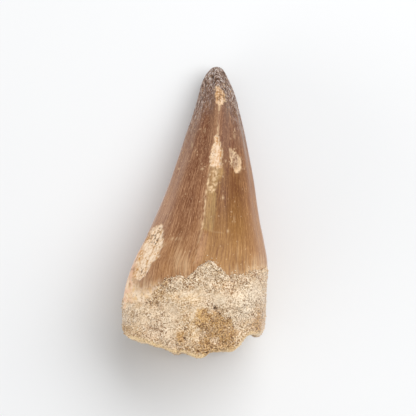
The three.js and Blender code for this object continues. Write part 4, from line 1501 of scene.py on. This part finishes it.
class TOOTH_OT_grains(Operator):
    """Strews sand grains over the rock and along its rim"""

    bl_idname = "tooth.grains"
    bl_label = "Sand grains"

    def execute(self, context):
        s = context.scene.tooth_rock
        material = grain_material(s)
        fine, coarse = s.fine_radius / MM, s.coarse_radius / MM
        medium = math.sqrt(fine * coarse)
        ground = rock_surface()
        pieces = [
            grains("coarse_grains", ground, s.coarse_count, medium, coarse, 5, on_rough),
            grains("fine_grains", ground, s.fine_count, fine, medium, 6, on_sand),
            rim_grains("rim_grains", s.rim_count, fine, medium * 1.2, 7),
        ]
        for piece in pieces:
            settle(piece, material, "sandy_rock")
        return {"FINISHED"}


class TOOTH_OT_stage(Operator):
    """Makes the floor, the soft light, the white surroundings and the camera"""

    bl_idname = "tooth.stage"
    bl_label = "Stage"

    def execute(self, context):
        settings = context.scene.tooth_stage
        make_floor(settings)
        make_light("key", settings)
        make_light("fill", settings)
        make_camera(settings)
        return {"FINISHED"}


def make_floor(s):
    """A square floor just below the tooth, and white surroundings."""
    half = s.floor_size / 2
    corners = [(-half, -half), (half, -half), (half, half), (-half, half)]
    mesh = bpy.data.meshes.new("floor")
    mesh.from_pydata([(x, y, -FLOOR_DROP * MM) for x, y in corners], [], [(0, 1, 2, 3)])
    matt = {"Specular IOR Level": 0.0}
    mesh.materials.append(Shader("paper").finish(tuple(s.floor), 1.0, others=matt))
    floor = in_scene("floor", mesh)
    world = bpy.data.worlds.new("white_room")
    world.use_nodes = True
    background = world.node_tree.nodes["Background"]
    background.inputs["Color"].default_value = (1, 1, 1, 1)
    background.inputs["Strength"].default_value = s.sky
    bpy.context.scene.world = world


def make_light(which, s):
    """A soft rectangular light that looks at the tooth, as its own settings say."""
    lamp = bpy.data.lights.new(f"{which}_light", "AREA")
    lamp.shape = "RECTANGLE"
    lamp.energy, lamp.size, lamp.size_y, distance, bearing, height = (
        getattr(s, f"{which}_{part}")
        for part in ("power", "width", "depth", "distance", "bearing", "height")
    )
    light = in_scene(lamp.name, lamp)
    level = math.cos(height)
    way = (level * math.cos(bearing), level * math.sin(bearing), math.sin(height))
    light.location = np.array(way) * distance
    light.rotation_euler = (math.pi / 2 - height, 0, bearing + math.pi / 2)


def make_camera(s):
    """A long lens that looks straight down, with the tip at the top of the picture."""
    lens = bpy.data.cameras.new("camera")
    to_tooth = s.camera_height - FOCUS_HEIGHT * MM
    lens.sensor_width = 36
    lens.lens = lens.sensor_width * to_tooth / s.view_width
    lens.clip_start, lens.clip_end = 0.01, 10
    camera = in_scene("camera", lens)
    aim = np.array([*AIM, 0.0]) + frame_shift()
    camera.location = (aim[0] * MM, aim[1] * MM, s.camera_height)
    bpy.context.scene.camera = camera
    bpy.context.scene.view_settings.view_transform = "Standard"


class TOOTH_PT_sidebar(Panel):
    """Lists the steps and their settings"""

    bl_label = "Fossil tooth"
    bl_space_type = "VIEW_3D"
    bl_region_type = "UI"
    bl_category = "Tooth"

    def draw(self, context):
        for operator, group in STEPS:
            self.layout.operator(operator.bl_idname)
            if group:
                settings = getattr(context.scene, group)
                for name in settings.bl_rna.properties.keys():
                    if name not in ("rna_type", "name"):
                        self.layout.prop(settings, name)


STEPS = [
    (TOOTH_OT_enamel, "tooth_enamel"),
    (TOOTH_OT_rock, "tooth_rock"),
    (TOOTH_OT_grains, None),
    (TOOTH_OT_stage, "tooth_stage"),
]
SETTINGS = {
    "tooth_enamel": EnamelSettings,
    "tooth_rock": RockSettings,
    "tooth_stage": StageSettings,
}
CLASSES = [*SETTINGS.values(), *(operator for operator, _ in STEPS), TOOTH_PT_sidebar]


def register():
    """Adds the classes, and the settings to the scene."""
    for made in CLASSES:
        bpy.utils.register_class(made)
    for name, group in SETTINGS.items():
        setattr(bpy.types.Scene, name, PointerProperty(type=group))


def unregister():
    """Takes both away again."""
    for name in SETTINGS:
        delattr(bpy.types.Scene, name)
    for made in reversed(CLASSES):
        bpy.utils.unregister_class(made)


def main():
    """Builds every piece in order."""
    register()
    bpy.ops.tooth.enamel()
    bpy.ops.tooth.rock()
    bpy.ops.tooth.grains()
    bpy.ops.tooth.stage()


if __name__ == "__main__":
    main()
